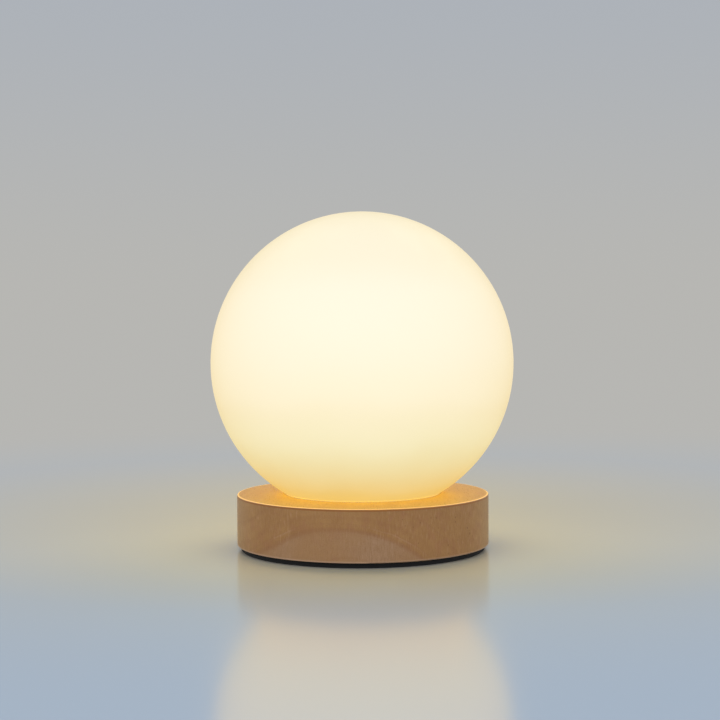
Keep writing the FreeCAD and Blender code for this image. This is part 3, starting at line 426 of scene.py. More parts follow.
def make_opal_glass():
    plain = {
        "Base Color": rgb(0.26, 0.25, 0.22),
        "IOR": 1.5,
        "Specular IOR Level": 0.3,
        "Coat Roughness": 0.5,
        "Coat IOR": 1.05,
        "Coat Tint": rgb(0.96, 0.925, 0.85),
    }
    tree, shader, place = new_finish("opal_glass", plain)
    polar = use(tree, POLAR, {"Place": place})
    share = rescale(tree, polar["Height"], (GLOBE_CENTRE_Z - GLOBE_RADIUS, GLOBE_CENTRE_Z + GLOBE_RADIUS))
    cloud = grain(tree, place, CLOUD_SIZE, 2.0, low=-CLOUD_SHIFT, high=CLOUD_SHIFT)
    glow = ramp(tree, calc(tree, "ADD", share, cloud), GLOW_STOPS)
    from_centre = calc_vector(tree, "DISTANCE", place, (0.0, 0.0, GLOBE_CENTRE_Z))
    skin = rescale(tree, from_centre, (GLOBE_RADIUS - GLASS_WALL, GLOBE_RADIUS))
    low = rescale(tree, polar["Height"], (SEAT_Z, SEAT_Z + SEAT_FADE), (1.0, 0.0))
    wide = rescale(tree, polar["Radius"], (NECK_RADIUS, NECK_RADIUS + NECK_FADE))
    outer = largest(tree, skin, product(tree, low, wide))
    rays = put(tree, "ShaderNodeLightPath").outputs
    shown = mix_values(tree, rays["Is Glossy Ray"], GLOW, MIRRORED_GLOW)
    cast = mix_values(tree, outer, INNER_GLOW, CAST_GLOW)
    cast_colour = mix_colours(tree, outer, INNER_COLOUR, CAST_COLOUR)
    mirrored = mix_colours(tree, rays["Is Glossy Ray"], glow, MIRRORED_TINT, "MULTIPLY")
    frost = grain(tree, place, 0.12 * MM, 4.0)
    feeds = {
        "Coat Weight": rescale(tree, share, COAT_HEIGHTS, COAT_WEIGHTS),
        "Emission Color": mix_colours(tree, rays["Is Diffuse Ray"], mirrored, cast_colour),
        "Emission Strength": mix_values(tree, rays["Is Diffuse Ray"], shown, cast),
        "Roughness": grain(tree, place, 9 * MM, low=0.5, high=0.62),
        "Normal": relief(tree, frost, 0.004 * MM),
    }
    feed(shader, feeds)


make_opal_glass()
print("globe radius", round(GLOBE_RADIUS, 4), "centre height", round(GLOBE_CENTRE_Z, 4))


# %% [markdown]
# ## The beech
#
# Beech is a solid material, so its pattern is a solid one too: every point of the block has its colour,
# and the turned disc only cuts through it. The tree's heart lay below the disc and ran from front to
# back. The front face is therefore end grain, where the yearly rings show as shallow arches, and the
# top face is long grain, where the same rings run as streaks. Beech has three finer marks. Its pores
# are dots on the end and dashes along the grain. Its rays are thin sheets that point away from the
# heart: fine upright lines on the front and short flecks on the top. Its fibres give a silky streak.
# Round the heart the wood is rosier and ends in a darker band.
#
# Each mark is a stain over the ones before it. The last three follow the disc instead of the tree: a
# painted highlight along the sharp top arris, a darker line just under it, and painted light, as bounced
# up from the table, that makes the edge above the foot a little paler than the side.

# %% Beech
HEART_X = -10 * MM
HEART_Z = -28 * MM
HEART_TILT_X = 0.035
HEART_TILT_Z = -0.06
HEART_WOOD = 45.2 * MM  # radius of the rosier wood round the tree's heart
HEART_FADE = 1 * MM
HEART_LINE = 1.9 * MM  # how far outside the rosier wood a pale line runs
RING_WIDTH = 3.1 * MM
RING_WANDER = 5 * MM
BEECH_PALE = rgb(0.45, 0.243, 0.097)
BEECH_MIDDLE = rgb(0.39, 0.199, 0.078)
BEECH_ROSY = rgb(0.44, 0.262, 0.152)
BEECH_BLUSH = rgb(0.40, 0.185, 0.092)
BEECH_BAND = rgb(0.34, 0.155, 0.07)
BEECH_LATE = rgb(0.30, 0.142, 0.056)
BEECH_PORE = rgb(0.15, 0.065, 0.03)
# the pale of the wood's figure, also used as painted light on the foot's edge; then the painted highlight of the
# top arris, and the darker line under it
BEECH_PALE_FIGURE_AND_FOOT_LIGHT = rgb(0.66, 0.43, 0.31)
BEECH_ARRIS_HIGHLIGHT = rgb(0.93, 0.57, 0.28)
BEECH_UNDER_ARRIS_DARK = rgb(0.34, 0.128, 0.035)
SPECKS_FROM = (-20 * MM, 30 * MM)  # from left to right over the disc, the dark specks grow stronger
TOP_ARRIS = 0.31 * MM
UNDER_ARRIS = 0.3 * MM  # half the width of the darker line below the top arris
FOOT_ARRIS = 1.0 * MM
BEECH_GRAINS = {
    "fibre": (0.32 * MM, 4.0, (1.0, 34.0, 1.0)),
    "cloud": (8 * MM, 4.0, (1.0, 2.5, 1.0)),
    "ray": (0.36 * MM, 2.0, (1.0, 7.0, 8.0)),
    "patch": (24 * MM, 1.0, UNSTRETCHED),
    "blush": (3.2 * MM, 3.0, (1.0, 3.0, 1.6)),
}  # each with its size, its detail and how far it is drawn out along each axis
BEECH_PORES = {"Stretch": (1.0, 14.0, 1.0), "Spacing": 0.42 * MM, "Share": 0.5, "Reach": 0.42}
BEECH_SPECKS = {"Stretch": (0.8, 24.0, 2.0), "Spacing": 1.2 * MM, "Share": 0.3, "Reach": 0.28}


def beech_rings(tree, place):
    """Distance from the tree's heart, in ring widths and in metres."""
    wander = put(tree, "ShaderNodeTexNoise", {"Vector": place, "Scale": 34.0, "Detail": 2.0})
    drift = calc_vector(tree, "SUBTRACT", wander.outputs["Color"], (0.5, 0.5, 0.5))
    part = split(tree, calc_vector(tree, "ADD", place, scaled(tree, drift, RING_WANDER)))
    across = calc(tree, "MULTIPLY_ADD", part["Y"], HEART_TILT_X, calc(tree, "SUBTRACT", part["X"], HEART_X))
    rise = calc(tree, "MULTIPLY_ADD", part["Y"], HEART_TILT_Z, calc(tree, "SUBTRACT", part["Z"], HEART_Z))
    radius = calc_vector(tree, "LENGTH", join(tree, X=across, Y=rise))
    return calc(tree, "DIVIDE", radius, RING_WIDTH), radius


def late_wood(tree, years):
    """The dark end of each year's ring, stronger in some years than in others."""
    feeds = {"W": years, "Scale": 0.42, "Detail": 1.0}
    uneven = put(tree, "ShaderNodeTexNoise", feeds, noise_dimensions="1D").outputs["Fac"]
    year_part = calc(tree, "FRACT", calc(tree, "MULTIPLY_ADD", uneven, 0.9, years))
    rise = rescale(tree, year_part, (0.15, 0.8), smooth=True)
    fall = rescale(tree, year_part, (0.8, 1.0), (1.0, 0.0), True)
    return product(tree, rise, fall, rescale(tree, uneven, (0.42, 0.72), (0.15, 1.0), True))


def beech_edge_light_and_line(tree, place):
    """Where the disc's darker line under the top arris, the painted light on its foot's edge and the painted
    highlight on its top arris are.
    """
    low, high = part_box("wood_base")
    part = use(tree, POLAR, {"Place": place})
    rim = rescale(tree, part["Radius"], (high.x - 3 * TOP_ARRIS, high.x - 1.4 * TOP_ARRIS), smooth=True)
    # the darker line just under the top arris
    under = band(tree, part["Height"], high.z - TOP_ARRIS - UNDER_ARRIS, UNDER_ARRIS, 0.6 * UNDER_ARRIS)
    # the foot's edge, where light bounced up from the table is painted in
    foot = rescale(tree, part["Height"], (low.z + FOOT_ARRIS, low.z), (0.0, 0.85), True)
    # the top arris, where a highlight of the globe's light is painted in
    top = rescale(tree, part["Height"], (high.z - TOP_ARRIS, high.z - 0.4 * TOP_ARRIS), (0.0, 0.95))
    return (rim, under, 0.95), (rim, foot), (rim, top)


def make_beech():
    plain = {"IOR": 1.5, "Specular IOR Level": 0.28, "Sheen Weight": 0.1, "Sheen Roughness": 0.5}
    plain["Sheen Tint"] = rgb(1.0, 0.95, 0.5)
    tree, shader, place = new_finish("beech", plain)
    years, radius = beech_rings(tree, place)
    late = late_wood(tree, years)
    grains = [grain(tree, place, *facts) for facts in BEECH_GRAINS.values()]
    fibre, cloud, ray, patch, blush = grains
    pore = use(tree, FLECKS, {"Place": place, **BEECH_PORES})["Mark"]
    speck = use(tree, FLECKS, {"Place": place, **BEECH_SPECKS})["Mark"]
    heart = rescale(tree, radius, (HEART_WOOD - HEART_FADE, HEART_WOOD + HEART_FADE), (1.0, 0.0), True)
    heart_edge = band(tree, radius, HEART_WOOD, 0.7 * MM, 0.6 * MM)
    heart_line = band(tree, radius, HEART_WOOD + HEART_LINE, 0.25 * MM, 0.2 * MM)
    figured = rescale(tree, patch, (0.3, 0.75), (0.5, 1.0), True)
    under_arris_line, foot, top = beech_edge_light_and_line(tree, place)
    stains = [
        (BEECH_BLUSH, (rescale(tree, blush, (0.45, 0.9), (0.0, 0.5), True),)),
        (BEECH_ROSY, (heart, rescale(tree, patch, (0.2, 0.8), (0.45, 1.0)))),
        (BEECH_BAND, (heart_edge, 0.5)),
        (BEECH_PALE_FIGURE_AND_FOOT_LIGHT, (heart_line, rescale(tree, patch, (0.4, 0.8), (0.02, 0.22)))),
        (BEECH_BAND, (late, 0.3)),
        (BEECH_LATE, (fibre, 0.3)),
        (BEECH_PALE_FIGURE_AND_FOOT_LIGHT, (figured, rescale(tree, ray, (0.4, 0.0), (0.0, 0.16), True))),
        (BEECH_LATE, (figured, rescale(tree, ray, (0.55, 0.95), (0.0, 0.3), True))),
        (BEECH_PORE, (pore, 0.22)),
        (BEECH_PORE, (speck, rescale(tree, split(tree, place)["X"], SPECKS_FROM, (0.15, 0.6)))),
        # a darker line just under the top arris
        (BEECH_UNDER_ARRIS_DARK, under_arris_line),
        # painted light on the edge above the foot, as bounced up from the table
        (BEECH_PALE_FIGURE_AND_FOOT_LIGHT, foot),
        # a painted highlight along the top arris
        (BEECH_ARRIS_HIGHLIGHT, top),
    ]
    wood = mix_colours(tree, cloud, BEECH_PALE, BEECH_MIDDLE)
    for colour, shares in stains:
        wood = stain(tree, wood, colour, *shares)
    height = calc(tree, "SUBTRACT", product(tree, fibre, 0.35), pore)
    dress(tree, shader, wood, rescale(tree, pore, (0.0, 1.0), (0.44, 0.7)), height, 0.02 * MM)


make_beech()
print("rings per centimetre of the tree:", round(10 * MM / RING_WIDTH, 1))


# %% [markdown]
# ## Moulded pieces
#
# The cover, the port's bezel, the tray, the switch and the connectors are all moulded. A mould leaves a
# fine grain, the resin flows in slightly cloudy patches, and handling polishes the edges, which are also
# painted lighter as a highlight. So one function makes every moulded finish from the same three effects,
# each at its own size and strength. The silicone ring round the globe's neck has a painted glow, which
# stands for the lamp's light that its clear rubber passes on.

# %% Moulded plastics, resins and rubber
RESIN_PATCH = 6 * MM
RESIN_SHADE = 0.93  # how dark a cloudy patch is
MOULDED_EDGE = 0.35 * MM
FINE_SIZE = 0.6  # of the fine grain, as a share of a pit
FINE_SHARE = 0.4  # of the fine grain in the relief


def make_moulded(name, colour, roughness, pit, depth, plain=None, edge_light=1.25):
    """A moulded finish. Pit is the size of its texture and depth is how deep that is. Edge light lightens the
    edges as a painted highlight.
    """
    tree, shader, place = new_finish(name, plain or {})
    patch = grain(tree, place, RESIN_PATCH)
    pits = use(tree, CELLS, {"Place": place, "Size": pit})["Height"]
    fine = grain(tree, place, FINE_SIZE * pit)
    edge = use(tree, ARRIS, {"Width": MOULDED_EDGE})["Edge"]
    clouded = mix_colours(tree, patch, darker(colour, RESIN_SHADE), colour)
    # the edges are painted lighter: a painted highlight
    lit = mix_colours(tree, edge, clouded, darker(colour, edge_light))
    rough = rescale(tree, patch, (0.0, 1.0), (roughness - 0.04, roughness + 0.05))
    polished = mix_values(tree, edge, rough, roughness - 0.1)
    dress(tree, shader, lit, polished, mix_values(tree, FINE_SHARE, pits, fine), depth)


SOFT_GLOW = {"Subsurface Weight": 0.25, "Subsurface Scale": 0.6 * MM}
# the clear silicone ring gets a painted glow: emission that stands for the lamp's light passing through it
RUBBER_PAINTED_GLOW = {"Coat Weight": 0.2, "Emission Color": rgb(1.0, 0.56, 0.13), "Emission Strength": 0.38}
make_moulded("black_plastic", rgb(0.021, 0.021, 0.022), 0.47, 0.16 * MM, 0.02 * MM, edge_light=1.9)
make_moulded("white_plastic", rgb(0.65, 0.63, 0.60), 0.4, 0.3 * MM, 0.006 * MM, edge_light=1.08)
make_moulded("connector_nylon", rgb(0.72, 0.68, 0.56), 0.42, 0.2 * MM, 0.008 * MM, SOFT_GLOW, 1.08)
make_moulded("clear_silicone", rgb(0.48, 0.41, 0.28), 0.34, 0.5 * MM, 0.008 * MM, RUBBER_PAINTED_GLOW, 1.15)
make_moulded("chip_resin", rgb(0.024, 0.024, 0.026), 0.5, 0.08 * MM, 0.008 * MM, edge_light=1.6)
make_moulded("ferrite", rgb(0.09, 0.09, 0.098), 0.62, 0.12 * MM, 0.01 * MM)
make_moulded("indicator_resin", rgb(0.75, 0.75, 0.68), 0.2, 0.3 * MM, 0.003 * MM, SOFT_GLOW)
make_moulded("amber_tape", rgb(0.48, 0.2, 0.024), 0.22, 0.9 * MM, 0.012 * MM, {"Coat Weight": 0.5})
print("moulded finishes:", sorted(FINISHES))


# %% [markdown]
# ## The power button
#
# The button's face is hollowed and turned, so it carries fine rings round its own axis, which runs
# from front to back. A Mapping node brings that axis to the middle and upright, and a wave of the
# distance from it makes the rings.

# %% Turned button face
button_low, button_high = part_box("power_button")
BUTTON_MIDDLE = (button_low + button_high) / 2
BUTTON_RADIUS = (button_high.x - button_low.x) / 2
TURNING_PITCH = 0.14 * MM
TURNED_FACE = (0.80 * BUTTON_RADIUS, 0.86 * BUTTON_RADIUS)  # where the rings begin to fade, and end


def make_button():
    tree, shader, place = new_finish("button_plastic", {"Coat Weight": 0.15, "Coat Roughness": 0.3})
    moved = calc_vector(tree, "SUBTRACT", place, tuple(BUTTON_MIDDLE))
    turned = {"Vector": moved, "Rotation": (math.radians(90), 0.0, 0.0)}
    upright = put(tree, "ShaderNodeMapping", turned).outputs[0]
    polar = use(tree, POLAR, {"Place": upright})
    wave = calc(tree, "SINE", product(tree, polar["Radius"], math.tau / TURNING_PITCH))
    face = rescale(tree, polar["Radius"], TURNED_FACE, (1.0, 0.0), True)
    rings = product(tree, calc(tree, "MULTIPLY_ADD", wave, 0.5, 0.5), face)
    edge = use(tree, ARRIS, {"Width": 0.4 * MM})["Edge"]
    patch = grain(tree, place, 1.8 * MM, low=0.3, high=0.4)
    ground = mix_colours(tree, rings, rgb(0.05, 0.05, 0.053), rgb(0.07, 0.07, 0.074))
    # the button's edges are painted lighter: a painted highlight
    highlit_edges = mix_colours(tree, edge, ground, rgb(0.11, 0.11, 0.115))
    dress(tree, shader, highlit_edges, mix_values(tree, edge, patch, 0.24), rings, 0.006 * MM)


make_button()
print("button radius", round(BUTTON_RADIUS, 4))


# %% [markdown]
# ## Plated and drawn metal
#
# Screws are zinc plated or black oxide, pins are tinned, the socket's shell is drawn steel and the
# battery's tabs are rolled nickel. They differ in colour, in gloss and in the direction of their
# marks. One function takes those three and adds cloudy plating and brighter edges, a painted highlight.

# %% Metals
PLATING_PATCH = 1.6 * MM
METAL_EDGE = 0.15 * MM
DULL, EDGE_HIGHLIGHT = 0.84, 1.12  # a cloudy patch and an edge's painted highlight, as shares of the metal's colour


def make_metal(name, colour, roughness, marks=UNSTRETCHED, mark_size=0.3 * MM, depth=0.004 * MM):
    """A metal finish. Marks say how far the fine scratches are drawn out along each axis."""
    tree, shader, place = new_finish(name, {"Metallic": 1.0})
    drawn = grain(tree, place, mark_size, 4.0, marks)
    edge = use(tree, ARRIS, {"Width": METAL_EDGE})["Edge"]
    plated = mix_colours(tree, grain(tree, place, PLATING_PATCH), darker(colour, DULL), colour)
    # the edges are painted brighter: a painted highlight
    highlit_edges = mix_colours(tree, edge, plated, darker(colour, EDGE_HIGHLIGHT))
    rough = rescale(tree, drawn, (0.0, 1.0), (roughness - 0.06, roughness + 0.08))
    dress(tree, shader, highlit_edges, rough, drawn, depth)


make_metal("zinc_screw", rgb(0.66, 0.67, 0.68), 0.3)
make_metal("black_screw", rgb(0.055, 0.055, 0.06), 0.42)
make_metal("nickel", rgb(0.62, 0.58, 0.52), 0.34, (18.0, 1.0, 1.0))
make_metal("tinned_pin", rgb(0.72, 0.71, 0.68), 0.26, (1.0, 12.0, 1.0))
make_metal("socket_steel", rgb(0.58, 0.58, 0.58), 0.26, (1.0, 24.0, 1.0), 0.12 * MM)
make_metal("spring_steel", rgb(0.42, 0.42, 0.43), 0.28)
make_metal("pouch_foil", rgb(0.68, 0.69, 0.71), 0.36, UNSTRETCHED, 1.1 * MM, 0.05 * MM)
make_metal("solder", rgb(0.78, 0.78, 0.77), 0.44, UNSTRETCHED, 0.5 * MM, 0.01 * MM)
make_metal("gold_contact", rgb(0.83, 0.58, 0.24), 0.22, (1.0, 14.0, 1.0), 0.1 * MM)
print("finishes so far:", len(FINISHES))


# %% [markdown]
# ## Circuit boards
#
# A board is a sandwich: copper under a thin coloured lacquer on its two faces, and the bare core at
# its edge. On the round lamp board the copper joins the LEDs in a ring, so its raised track follows
# the distance from the lamp's axis. The small boards have their tracks on a square grid. The side
# of a board shows the core, which the surface's own direction tells apart from the faces.

# %% Board of the LED ring
board_low, board_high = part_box("lamp_board")
EMITTERS = 12
EMITTER_LENGTH = 3.5 * MM
EMITTER_RING = 13.0 * MM
TRACK_HALF = 0.9 * MM  # half the width of the track under the LEDs
RAIL_AWAY = 3.4 * MM  # how far from the LEDs the two other ring tracks run
RAIL_HALF = 0.45 * MM
SPOKE_HALF = 0.35 * MM


def make_lamp_board():
    tree, shader, place = new_finish("white_board", {"Coat Weight": 0.35, "Coat Roughness": 0.12})
    polar = use(tree, POLAR, {"Place": place, "Stations": float(EMITTERS)})
    track = band(tree, polar["Radius"], EMITTER_RING, TRACK_HALF)
    rails = [band(tree, polar["Radius"], EMITTER_RING + away, RAIL_HALF) for away in (RAIL_AWAY, -RAIL_AWAY)]
    spoke = band(tree, polar["Along"], 0.0, SPOKE_HALF)
    inside = band(tree, polar["Radius"], EMITTER_RING, RAIL_AWAY)
    copper = largest(tree, track, *rails, product(tree, spoke, inside))
    lacquer = mix_colours(tree, grain(tree, place, 7 * MM), rgb(0.67, 0.645, 0.615), rgb(0.71, 0.685, 0.655))
    faced = stain(tree, lacquer, rgb(0.50, 0.485, 0.44), copper, 0.7)
    facing = split(tree, put(tree, "ShaderNodeTexCoord").outputs["Normal"])["Z"]
    core = rescale(tree, calc(tree, "ABSOLUTE", facing), (0.4, 0.7), (1.0, 0.0))
    height = calc(tree, "MULTIPLY_ADD", grain(tree, place, 0.7 * MM, 2.0), 0.12, copper)
    sided = mix_colours(tree, core, faced, rgb(0.5, 0.5, 0.51))
    dress(tree, shader, sided, mix_values(tree, core, 0.28, 0.42), height, 0.035 * MM, Metallic=core)


make_lamp_board()
print("lamp board", round((board_high.x - board_low.x) / MM, 1), "mm across")


# %% Small boards
def make_small_boards():
    tree, shader, place = new_finish("green_board", {"Coat Weight": 0.4, "Coat Roughness": 0.15})
    squared = put(tree, "ShaderNodeTexBrick", {"Vector": place, "Scale": 420.0, "Mortar Size": 0.06})
    feed(squared, {"Color1": rgb(0, 0, 0), "Color2": rgb(0, 0, 0), "Mortar": rgb(1, 1, 1)})
    weave = grain(tree, place, 0.5 * MM, 2.0)
    cloud = grain(tree, place, 4 * MM)
    lacquer = mix_colours(tree, cloud, rgb(0.008, 0.085, 0.032), rgb(0.012, 0.115, 0.045))
    tracks = mix_colours(tree, squared.outputs["Color"], lacquer, rgb(0.025, 0.2, 0.075))
    core = use(tree, ARRIS, {"Width": 0.2 * MM})["Edge"]
    sided = mix_colours(tree, core, tracks, rgb(0.34, 0.33, 0.13))
    height = calc(tree, "MULTIPLY_ADD", weave, 0.15, squared.outputs["Fac"])
    dress(tree, shader, sided, rescale(tree, weave, (0.0, 1.0), (0.3, 0.42)), height, 0.02 * MM)


make_small_boards()
print("boards of the driver, the battery's guard and the port")


# %% [markdown]
# ## The LEDs
#
# Each LED is a white package about 3 mm long with a round well of yellow phosphor, and its two ends
# are tinned. All twelve share one mesh, so the finish has to know where each one is. The polar group
# gives that: at twelve stations round the ring it measures how far a point is from its own LED.

# %% Packages and phosphor
TINNED_FROM = (0.47 * EMITTER_LENGTH, 0.49 * EMITTER_LENGTH)
WELL_REACH = (0.1 * MM, 1.1 * MM)
SPECK_HEAT = 0.1


def make_emitter_package():
    plain = {"Subsurface Weight": 0.15, "Subsurface Scale": 0.3 * MM}
    tree, shader, place = new_finish("emitter_package", plain)
    polar = use(tree, POLAR, {"Place": place, "Stations": float(EMITTERS)})
    tinned = rescale(tree, calc(tree, "ABSOLUTE", polar["Along"]), TINNED_FROM)
    skin = grain(tree, place, 0.25 * MM)
    resin = mix_colours(tree, skin, rgb(0.72, 0.71, 0.66), rgb(0.78, 0.77, 0.73))
    ended = mix_colours(tree, tinned, resin, rgb(0.66, 0.65, 0.62))
    dress(tree, shader, ended, mix_values(tree, tinned, 0.45, 0.28), skin, 0.006 * MM, Metallic=tinned)


def make_phosphor():
    tree, shader, place = new_finish("phosphor", {"Roughness": 0.18, "Coat Weight": 0.3})
    polar = use(tree, POLAR, {"Place": place, "Stations": float(EMITTERS)})
    across = calc(tree, "SUBTRACT", polar["Radius"], EMITTER_RING)
    away = calc_vector(tree, "LENGTH", join(tree, X=across, Y=polar["Along"]))
    speck = grain(tree, place, 0.12 * MM, low=-SPECK_HEAT, high=SPECK_HEAT)
    heat = calc(tree, "ADD", rescale(tree, away, WELL_REACH, (1.0, 0.0), True), speck)
    feeds = {
        "Base Color": mix_colours(tree, heat, rgb(0.62, 0.36, 0.04), rgb(0.8, 0.6, 0.1)),
        "Emission Color": mix_colours(tree, heat, rgb(1.0, 0.52, 0.1), rgb(1.0, 0.9, 0.6)),
        "Emission Strength": rescale(tree, heat, (0.0, 1.0), (0.75, 2.2)),
    }
    feed(shader, feeds)
    FINISHES["phosphor"].cycles.emission_sampling = "NONE"


make_emitter_package()
make_phosphor()
print("LEDs in the ring:", EMITTERS)


# %% [markdown]
# ## Small components, leads, foam and clear parts
#
# The chip capacitors and resistors are ceramic blocks whose ends are dipped in tin. The leads are
# soft plastic tube with faint marks from the extruder. Foam is matt and full of tiny cells. The light
# pipe is clear acrylic, which needs real transmission and almost no texture.

# %% Ceramic blocks with tinned ends
capacitor_low, capacitor_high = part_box("capacitors")
resistor_low, resistor_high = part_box("resistors")
CAPACITOR_LENGTH = 2.0 * MM
RESISTOR_LENGTH = 1.6 * MM
BODY_SHARE = 0.31  # half of a body without its tinned ends, as a share of the piece's length
TIN_FADE = 0.03 * MM


def make_ceramic(name, colour, roughness, axis, middles, half_body):
    """A ceramic finish. It is tin beyond half a body's length from the nearest middle along an axis."""
    tree, shader, place = new_finish(name, {"Coat Weight": 0.2})
    along = split(tree, place)[axis]
    body = largest(tree, *(band(tree, along, middle, half_body, TIN_FADE) for middle in middles))
    fired = grain(tree, place, 0.3 * MM, 4.0)
    glaze = mix_colours(tree, fired, darker(colour, 0.85), colour)
    ended = mix_colours(tree, body, rgb(0.68, 0.67, 0.65), glaze)
    tin = calc(tree, "SUBTRACT", 1.0, body)
    dress(tree, shader, ended, mix_values(tree, body, 0.28, roughness), fired, 0.008 * MM, Metallic=tin)


capacitor_columns = [capacitor_low.x + CAPACITOR_LENGTH / 2, capacitor_high.x - CAPACITOR_LENGTH / 2]
resistor_row = [(resistor_low.y + resistor_high.y) / 2]
tan, black = rgb(0.40, 0.25, 0.12), rgb(0.02, 0.02, 0.022)
make_ceramic("tan_ceramic", tan, 0.42, "X", capacitor_columns, BODY_SHARE * CAPACITOR_LENGTH)
make_ceramic("dark_ceramic", black, 0.3, "Y", resistor_row, BODY_SHARE * RESISTOR_LENGTH)
print("capacitor columns at", [round(column / MM, 2) for column in capacitor_columns], "mm")


# %% Insulated leads
def make_lead(name, colour):
    """Insulation with the faint marks of its extruder and a few scuffs."""
    tree, shader, place = new_finish(name, {"Coat Weight": 0.1, "Coat Roughness": 0.4})
    scuff = grain(tree, place, 1.2 * MM, 4.0)
    scuffed = mix_colours(tree, scuff, darker(colour, 0.82), colour)
    rough = rescale(tree, scuff, (0.0, 1.0), (0.34, 0.5))
    dress(tree, shader, scuffed, rough, grain(tree, place, 0.15 * MM, 2.0), 0.01 * MM)


make_lead("red_lead", rgb(0.46, 0.012, 0.012))
make_lead("black_lead", rgb(0.016, 0.016, 0.017))
make_lead("white_lead", rgb(0.62, 0.62, 0.59))
print("lead colours: red, black, white")


# %% Foam and clear acrylic
def make_foam(name, colour, cell):
    """A matt closed-cell foam, pitted by cells of the given size."""
    tree, shader, place = new_finish(name, {"Specular IOR Level": 0.25, "Sheen Weight": 0.08})
    cells = use(tree, CELLS, {"Place": place, "Size": cell})["Height"]
    patch = grain(tree, place, 5 * MM)
    # the pits of the cells are painted darker: painted shade in the cells
    shaded_cells = mix_colours(tree, cells, darker(colour, 0.55), colour)
    patched = mix_colours(tree, patch, shaded_cells, darker(colour, 1.15))
    dress(tree, shader, patched, rescale(tree, patch, (0.0, 1.0), (0.78, 0.92)), cells, 0.06 * MM)


def make_clear_acrylic():
    plain = {"Base Color": rgb(0.86, 0.9, 0.9), "Transmission Weight": 0.55, "IOR": 1.49}
    tree, shader, place = new_finish("clear_acrylic", plain)
    feed(shader, {"Roughness": grain(tree, place, 0.8 * MM, low=0.2, high=0.34)})


make_foam("black_foam", rgb(0.017, 0.0175, 0.019), 0.3 * MM)
make_foam("white_foam", rgb(0.7, 0.7, 0.67), 0.35 * MM)
make_clear_acrylic()
print("finishes made:", len(FINISHES))


# %% [markdown]
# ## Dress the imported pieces
#
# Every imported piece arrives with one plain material, named after its slot. Swapping what the piece's
# material slot holds is enough to give it its finish. The mesh itself is left alone.

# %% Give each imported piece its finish
SLOTS = {row["slot"] for row in frame["record"]["materials"]}
for node in frame["nodes"].values():
    slot_name = node.material_slots[0].material.name
    node.material_slots[0].material = FINISHES[slot_name]
print("slots without a finish:", sorted(SLOTS - set(FINISHES)))


# %% [markdown]
# ## From points to a mesh
#
# The small pieces below are built point by point. Most are loops of points, one above the other, with
# faces between each loop and the next. The helpers join the loops, turn the faces outwards, keep the
# result as a smooth mesh and put it in the scene as an object.

# %% Join loops of points and keep the mesh
def add_object(name, data):
    """A new object in the scene, which holds a mesh, a light or a camera."""
    made = bpy.data.objects.new(name, data)
    bpy.context.scene.collection.objects.link(made)
    return made


def join_loops(shape, loops):
    """Faces from each loop of points to the next, all the way round."""
    for lower, upper in zip(loops, loops[1:]):
        for index, vertex in enumerate(lower):
            shape.faces.new((lower[index - 1], vertex, upper[index], upper[index - 1]))


def smooth_mesh(shape, name):
    """A smooth mesh from a bmesh, with its faces outwards. The bmesh is freed."""
    bmesh.ops.recalc_face_normals(shape, faces=shape.faces)
    mesh = bpy.data.meshes.new(name)
    shape.to_mesh(mesh)
    shape.free()
    for face in mesh.polygons:
        face.use_smooth = True
    return mesh


print("helpers for meshes: add_object, join_loops, smooth_mesh")


# %% [markdown]
# ## Foam pads
#
# A thin foam disc keeps the base from sliding and hides the cover's screws, and a smaller sheet
# packs the battery. Both are die-cut. The knife squeezes foam as it cuts, so the middle of a cut edge
# springs back a little hollow and its two rims stay soft. The solids are plain plates. Here each is
# built again as a stack of outlines, a little smaller or larger by turns, and stands for its solid.

# %% Die-cut foam
# each point is a share of the thickness, and how far the edge is in there, in millimetres
CUT_EDGE = [(0.0, 0.22), (0.05, 0.08), (0.16, 0.0), (0.32, 0.05), (0.5, 0.09), (0.68, 0.05)]
CUT_EDGE += [(0.84, 0.0), (0.95, 0.08), (1.0, 0.22)]
PAD_SIDES = 256
LINER_CORNER = 0.8 * MM
CORNER_STEPS = 6
PAD_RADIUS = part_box("foot_pad")[1].x
foam_low, foam_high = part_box("battery_foam")


def disc_outline(radius, count):
    """A way to draw a circle that is a given distance smaller."""
    def outline(inset):
        turns = [math.tau * step / count for step in range(count)]
        return [Vector(((radius - inset) * math.cos(a), (radius - inset) * math.sin(a))) for a in turns]
    return outline


def sheet_outline(low, high, corner, steps):
    """A way to draw a rectangle with rounded corners that is a given distance smaller."""
    def outline(inset):
        points = []
        corners = [(high.x, high.y), (low.x, high.y), (low.x, low.y), (high.x, low.y)]
        for number, (x, y) in enumerate(corners):
            towards = (low.x + high.x - 2 * x, low.y + high.y - 2 * y)
            inward = Vector([math.copysign(corner, part) for part in towards])
            for step in range(steps + 1):
                angle = math.radians(90) * (number + step / steps)
                arm = Vector((math.cos(angle), math.sin(angle))) * (corner - inset)
                points.append(Vector((x, y)) + inward + arm)
        return points
    return outline


def make_foam_piece(name, node, outline, finish):
    """A foam piece in the place of a packed plate, with the soft, hollow edge of a die-cut sheet."""
    low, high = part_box(node)
    cut = bmesh.new()
    loops = []
    for share, inset in CUT_EDGE:
        height = low.z + share * (high.z - low.z)
        loops.append([cut.verts.new((p.x, p.y, height)) for p in outline(inset * MM)])
    join_loops(cut, loops)
    for loop, height in ((loops[0], low.z), (loops[-1], high.z)):
        middle = cut.verts.new(((low.x + high.x) / 2, (low.y + high.y) / 2, height))
        for index, vertex in enumerate(loop):
            cut.faces.new((loop[index - 1], vertex, middle))
    mesh = smooth_mesh(cut, name)
    for face in mesh.polygons:
        face.use_smooth = abs(face.normal.z) < 0.9  # the two flat faces stay flat
    mesh.materials.append(FINISHES[finish])
    piece = add_object(name, mesh)
    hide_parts(node)
    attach(piece, BASE)
    return piece


